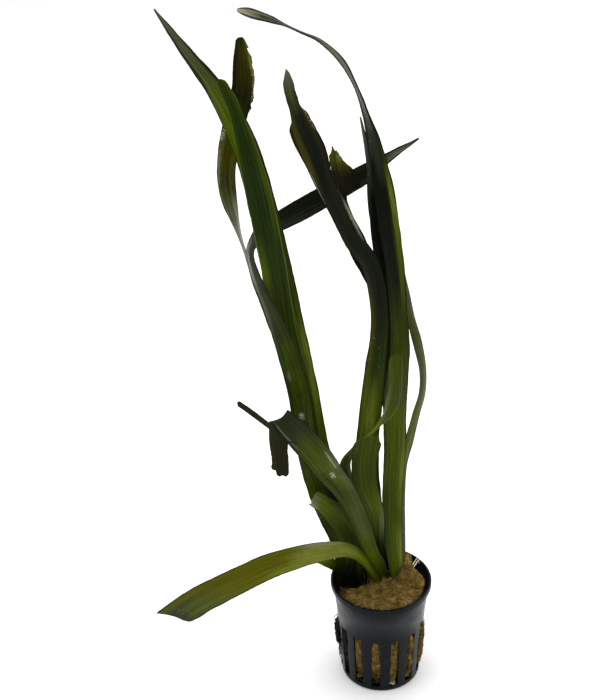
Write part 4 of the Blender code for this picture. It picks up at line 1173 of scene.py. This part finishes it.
def wool_finish():
    """Golden-brown mineral wool, mottled by its tone and by noise; the wool in the slots has a lower
    tone, so it is darker.
    """
    finish, sheet, shader = new_finish("rock_wool_fibre")
    tone = sheet.add("ShaderNodeAttribute", attribute_name="tone").outputs["Fac"]
    place = sheet.add("ShaderNodeTexCoord").outputs["Object"]
    patch = sheet.noise(place, 160.0, detail=4.0, roughness=0.6)
    fine = sheet.noise(place, 1500.0, detail=3.0, roughness=0.7)
    clump = sheet.noise(place, 420.0, detail=3.0, roughness=0.6)
    mixed = sheet.plus(sheet.times(tone, 0.5), sheet.times(patch, 0.35))
    mixed = sheet.plus(mixed, sheet.times(fine, 0.2))
    mixed = sheet.plus(mixed, sheet.times(sheet.maths("SUBTRACT", clump, 0.5), 0.7))
    rusty = sheet.between(sheet.noise(place, 90.0, detail=3.0), 0.48, 0.64)
    colour = sheet.mix(sheet.times(rusty, 0.3), sheet.ramp(mixed, WOOL_SHADES), paint("60421a"))
    coat(sheet, shader, colour, 0.85, 0.15, (fine, 0.6, 0.0003))
    return finish


def make_wool():
    shells = [wool_mound()] + [wool_lobe(index) for index in LOBES]
    shells += [wool_fibres(TOP_FIBRES, 11), slot_fibres(12)]
    shells += [slot_litter(*row) for row in LITTER]
    shells += [wool_tuft(*row) for row in TUFTS]
    piece("rock_wool_plug", shells, wool_finish(), "rock_wool")


# Crowns and roots

def crown_mound(place, seed):
    """A lumpy rootstock ringed by the stubs of old leaf bases."""
    x, y, half_width, half_depth, foot, top = place
    rings, segments = 26, 64
    level = np.repeat(np.linspace(0, 1, rings), segments)
    bearing = np.tile(np.linspace(0, 2 * math.pi, segments, endpoint=False), rings)
    swell = np.sin(math.pi / 2 * np.minimum(level * 1.6, 1)) * np.sqrt(np.clip(1 - level ** 4, 0, 1))
    radius = 0.25 + 0.75 * swell
    radius *= 1 + 0.07 * np.sin(5 * bearing + seed) + 0.04 * np.sin(11 * bearing + 2 * seed)
    radius *= 0.96
    points = np.stack([
        x + half_width * radius * np.cos(bearing), y + half_depth * radius * np.sin(bearing),
        foot + (top - foot) * level], -1)
    points[:, 2] += 0.35 * rough(points, 1.6) * smoothstep(0.1, 0.4, level)
    return Shell(points, loop_faces(rings, segments))


def flesh_finish(name, dark, light, shine=0.15):
    """Damp plant flesh, mottled from dark to light."""
    finish, sheet, shader = new_finish(name)
    place = sheet.add("ShaderNodeTexCoord").outputs["Object"]
    patch = sheet.noise(place, 380.0, detail=4.0, roughness=0.65)
    colour = sheet.ramp(patch, ((0.3, dark), (0.7, light)))
    coat(sheet, shader, colour, sheet.between(patch, 0.3, 0.7, 0.35, 0.7), shine, (patch, 0.5, 0.0003))
    return finish


def make_crowns():
    bark = flesh_finish("crown_dark_skin", "080806", "33231a")
    flesh = flesh_finish("crown_pale_skin", "181c08", "3a400f")
    left, centre = crown_mound(CROWN_LEFT, 1.0), crown_mound(CROWN_CENTRE, 2.0)
    piece("crown_left_rootstock", [left], bark, "crown_left")
    piece("crown_centre_rootstock", [centre], flesh, "crown_centre")


WHITE_ROOTS = {
    "root_long": (
        (14.6, 9.6, 61.2), (15.8, 8.6, 62.0), (17.2, 8.4, 61.4), (18.6, 10.6, 61.6),
        (20, 13.6, 61.2), (20.6, 16.2, 60.4)),
    "root_short": (
        (17.6, 6.8, 60.6), (18.6, 8.2, 61.2), (20.0, 11.0, 61.2), (21.2, 13.4, 60.8),
        (21.8, 15.0, 60.2)),
}

# Black roots: slot, number, how far they stand out, and the height they may reach down to.
# A row of no more than HANGING_ROOTS hangs all the way down to it.
BLACK_ROOTS = ((-3, 120, 1.5, 17.0), (-2, 70, -0.6, 8.0), (-3, 5, 0.5, 2.5))
BLACK_ROOT_STEPS = 14
HANGING_ROOTS = 10


def tapered(route, thick, thin, steps=40, seed=0, shake=0.0):
    """A single path through a route's points, with its radii."""
    rows = np.asarray(route, float)
    path = smooth_rows(rows, np.linspace(0, len(rows) - 1, steps))
    for axis in range(3):
        path[:, axis] += shake * wander(np.arange(steps), 4.0, seed + axis)
    return path[None], np.linspace(thick, thin, steps)[None]


def make_white_roots():
    skin = flesh_finish("root_white_skin", "b4ac98", "f0ece0", 0.4)
    for index, (name, route) in enumerate(WHITE_ROOTS.items()):
        shells = [strands(*tapered(route, 0.26, 0.15, seed=70 + index, shake=0.12), sides=8)]
        for branch in range(3):
            start = np.array(route[1 + branch])
            away = np.array((0.6 + branch, 1.8 - branch, -1.2))
            bend = (start, start + 0.5 * away + (0, 0, 0.5), start + away)
            shells.append(strands(*tapered(bend, 0.09, 0.04, steps=12), sides=5))
        piece(name + "_thread", shells, skin, name)


def make_black_roots():
    """Dark roots that fill two slots on the left and hang down the wall."""
    dice = np.random.default_rng(31)
    steps = BLACK_ROOT_STEPS
    paths, radii = [], []
    for index, count, proud, foot in BLACK_ROOTS:
        for _ in range(count):
            top = dice.uniform(24.0, 36.0)
            low = max(top - dice.uniform(4.0, 18.0), foot) if count > HANGING_ROOTS else foot
            height = np.linspace(top, low, steps)
            side = dice.uniform(-2.0, 2.0) + 0.9 * wander(height, 2.6, dice.integers(10000))
            swell = np.sin(math.pi * np.linspace(0.05, 0.95, steps))
            out = wall_radius(height) - 0.8 + (dice.uniform(0.2, 1.0) * proud + 0.8) * swell
            out += 0.9 * wander(height, 2.4, dice.integers(10000))
            paths.append(in_slot(index, out, np.clip(side, -2.1, 2.1), height))
            radii.append((dice.uniform(0.1, 0.24) + 0.5 / count) * np.linspace(1, 0.5, steps))
    skin = flesh_finish("root_black_skin", "050504", "1c1812")
    threads = strands(np.array(paths), np.array(radii), sides=5)
    piece("root_tuft_threads", [threads], skin, "root_tuft")


# Room: a pale floor, soft light, and the camera

def make_stage():
    bpy.ops.mesh.primitive_plane_add(size=6.0)
    floor = bpy.context.object
    floor.name = "floor"
    finish, _, shader = new_finish("floor_white")
    shader.inputs["Base Color"].default_value = (0.88, 0.88, 0.88, 1)
    shader.inputs["Roughness"].default_value = 0.9
    shader.inputs["Specular IOR Level"].default_value = 0.1
    floor.data.materials.append(finish)


# Soft boxes: name, place, size and power, all turned towards the plant's middle
PLANT_MIDDLE = (0.0, 0.0, 0.15)
LAMPS = (("overhead", (0.0, 0.15, 1.6), 1.6, 27.0), ("left_side", (-1.3, -0.2, 0.7), 1.0, 5.0),
         ("right_side", (1.3, 0.1, 0.7), 1.0, 4.0))


def soft_box(name, place, size, power):
    light = bpy.data.lights.new(name, "AREA")
    light.shape = "SQUARE"
    light.size = size
    light.energy = power
    lamp = bpy.data.objects.new(name, light)
    lamp.location = place
    lamp.rotation_euler = (Vector(PLANT_MIDDLE) - Vector(place)).to_track_quat("-Z", "Y").to_euler()
    bpy.context.scene.collection.objects.link(lamp)


def make_light():
    world = bpy.data.worlds.new("studio")
    bpy.context.scene.world = world
    world.use_nodes = True
    sheet = Sheet(world.node_tree)
    toward = sheet.add("ShaderNodeTexCoord").outputs["Generated"]
    parts = sheet.add("ShaderNodeSeparateXYZ", {0: toward}).outputs
    strength = sheet.between(parts["Y"], -0.9, 0.1, ROOM_FRONT, ROOM_BACK)
    seen = sheet.add("ShaderNodeLightPath").outputs["Is Camera Ray"]
    shade = world.node_tree.nodes["Background"]
    shade.inputs["Color"].default_value = (1.0, 1.0, 1.0, 1)
    strength = sheet.maths("MAXIMUM", strength, sheet.times(seen, ROOM_BACK))
    sheet.put(strength, shade.inputs["Strength"])
    for lamp in LAMPS:
        soft_box(*lamp)
    bpy.context.scene.view_settings.view_transform = "Standard"


def make_camera():
    pitch, roll = math.radians(CAMERA_PITCH), math.radians(CAMERA_ROLL)
    forward = Vector((0.0, math.cos(pitch), -math.sin(pitch)))
    right, up = Vector((1.0, 0.0, 0.0)), Vector((0.0, math.sin(pitch), math.cos(pitch)))
    held_right = right * math.cos(roll) + up * math.sin(roll)
    held_up = up * math.cos(roll) - right * math.sin(roll)
    camera = bpy.data.cameras.new("camera")
    camera.lens = CAMERA_LENS
    camera.sensor_fit = "VERTICAL"
    camera.sensor_height = FILM_HEIGHT
    camera.clip_start = 0.02
    camera.clip_end = 20.0
    eye = bpy.data.objects.new("camera", camera)
    place = (Vector(LOOK_AT) - forward * CAMERA_DISTANCE) * MM
    turned = Matrix((held_right, held_up, -forward)).transposed().to_4x4()
    eye.matrix_world = Matrix.Translation(place) @ turned
    bpy.context.scene.collection.objects.link(eye)
    bpy.context.scene.camera = eye


def main():
    groups = {
        "veins": make_vein_group(), "wear": make_wear_group(), "spot": make_spot_group(),
        "scuffs": make_scuff_group()}
    make_leaves(groups)
    make_pot(groups)
    make_wool()
    make_crowns()
    make_white_roots()
    make_black_roots()
    make_stage()
    make_light()
    make_camera()


main()
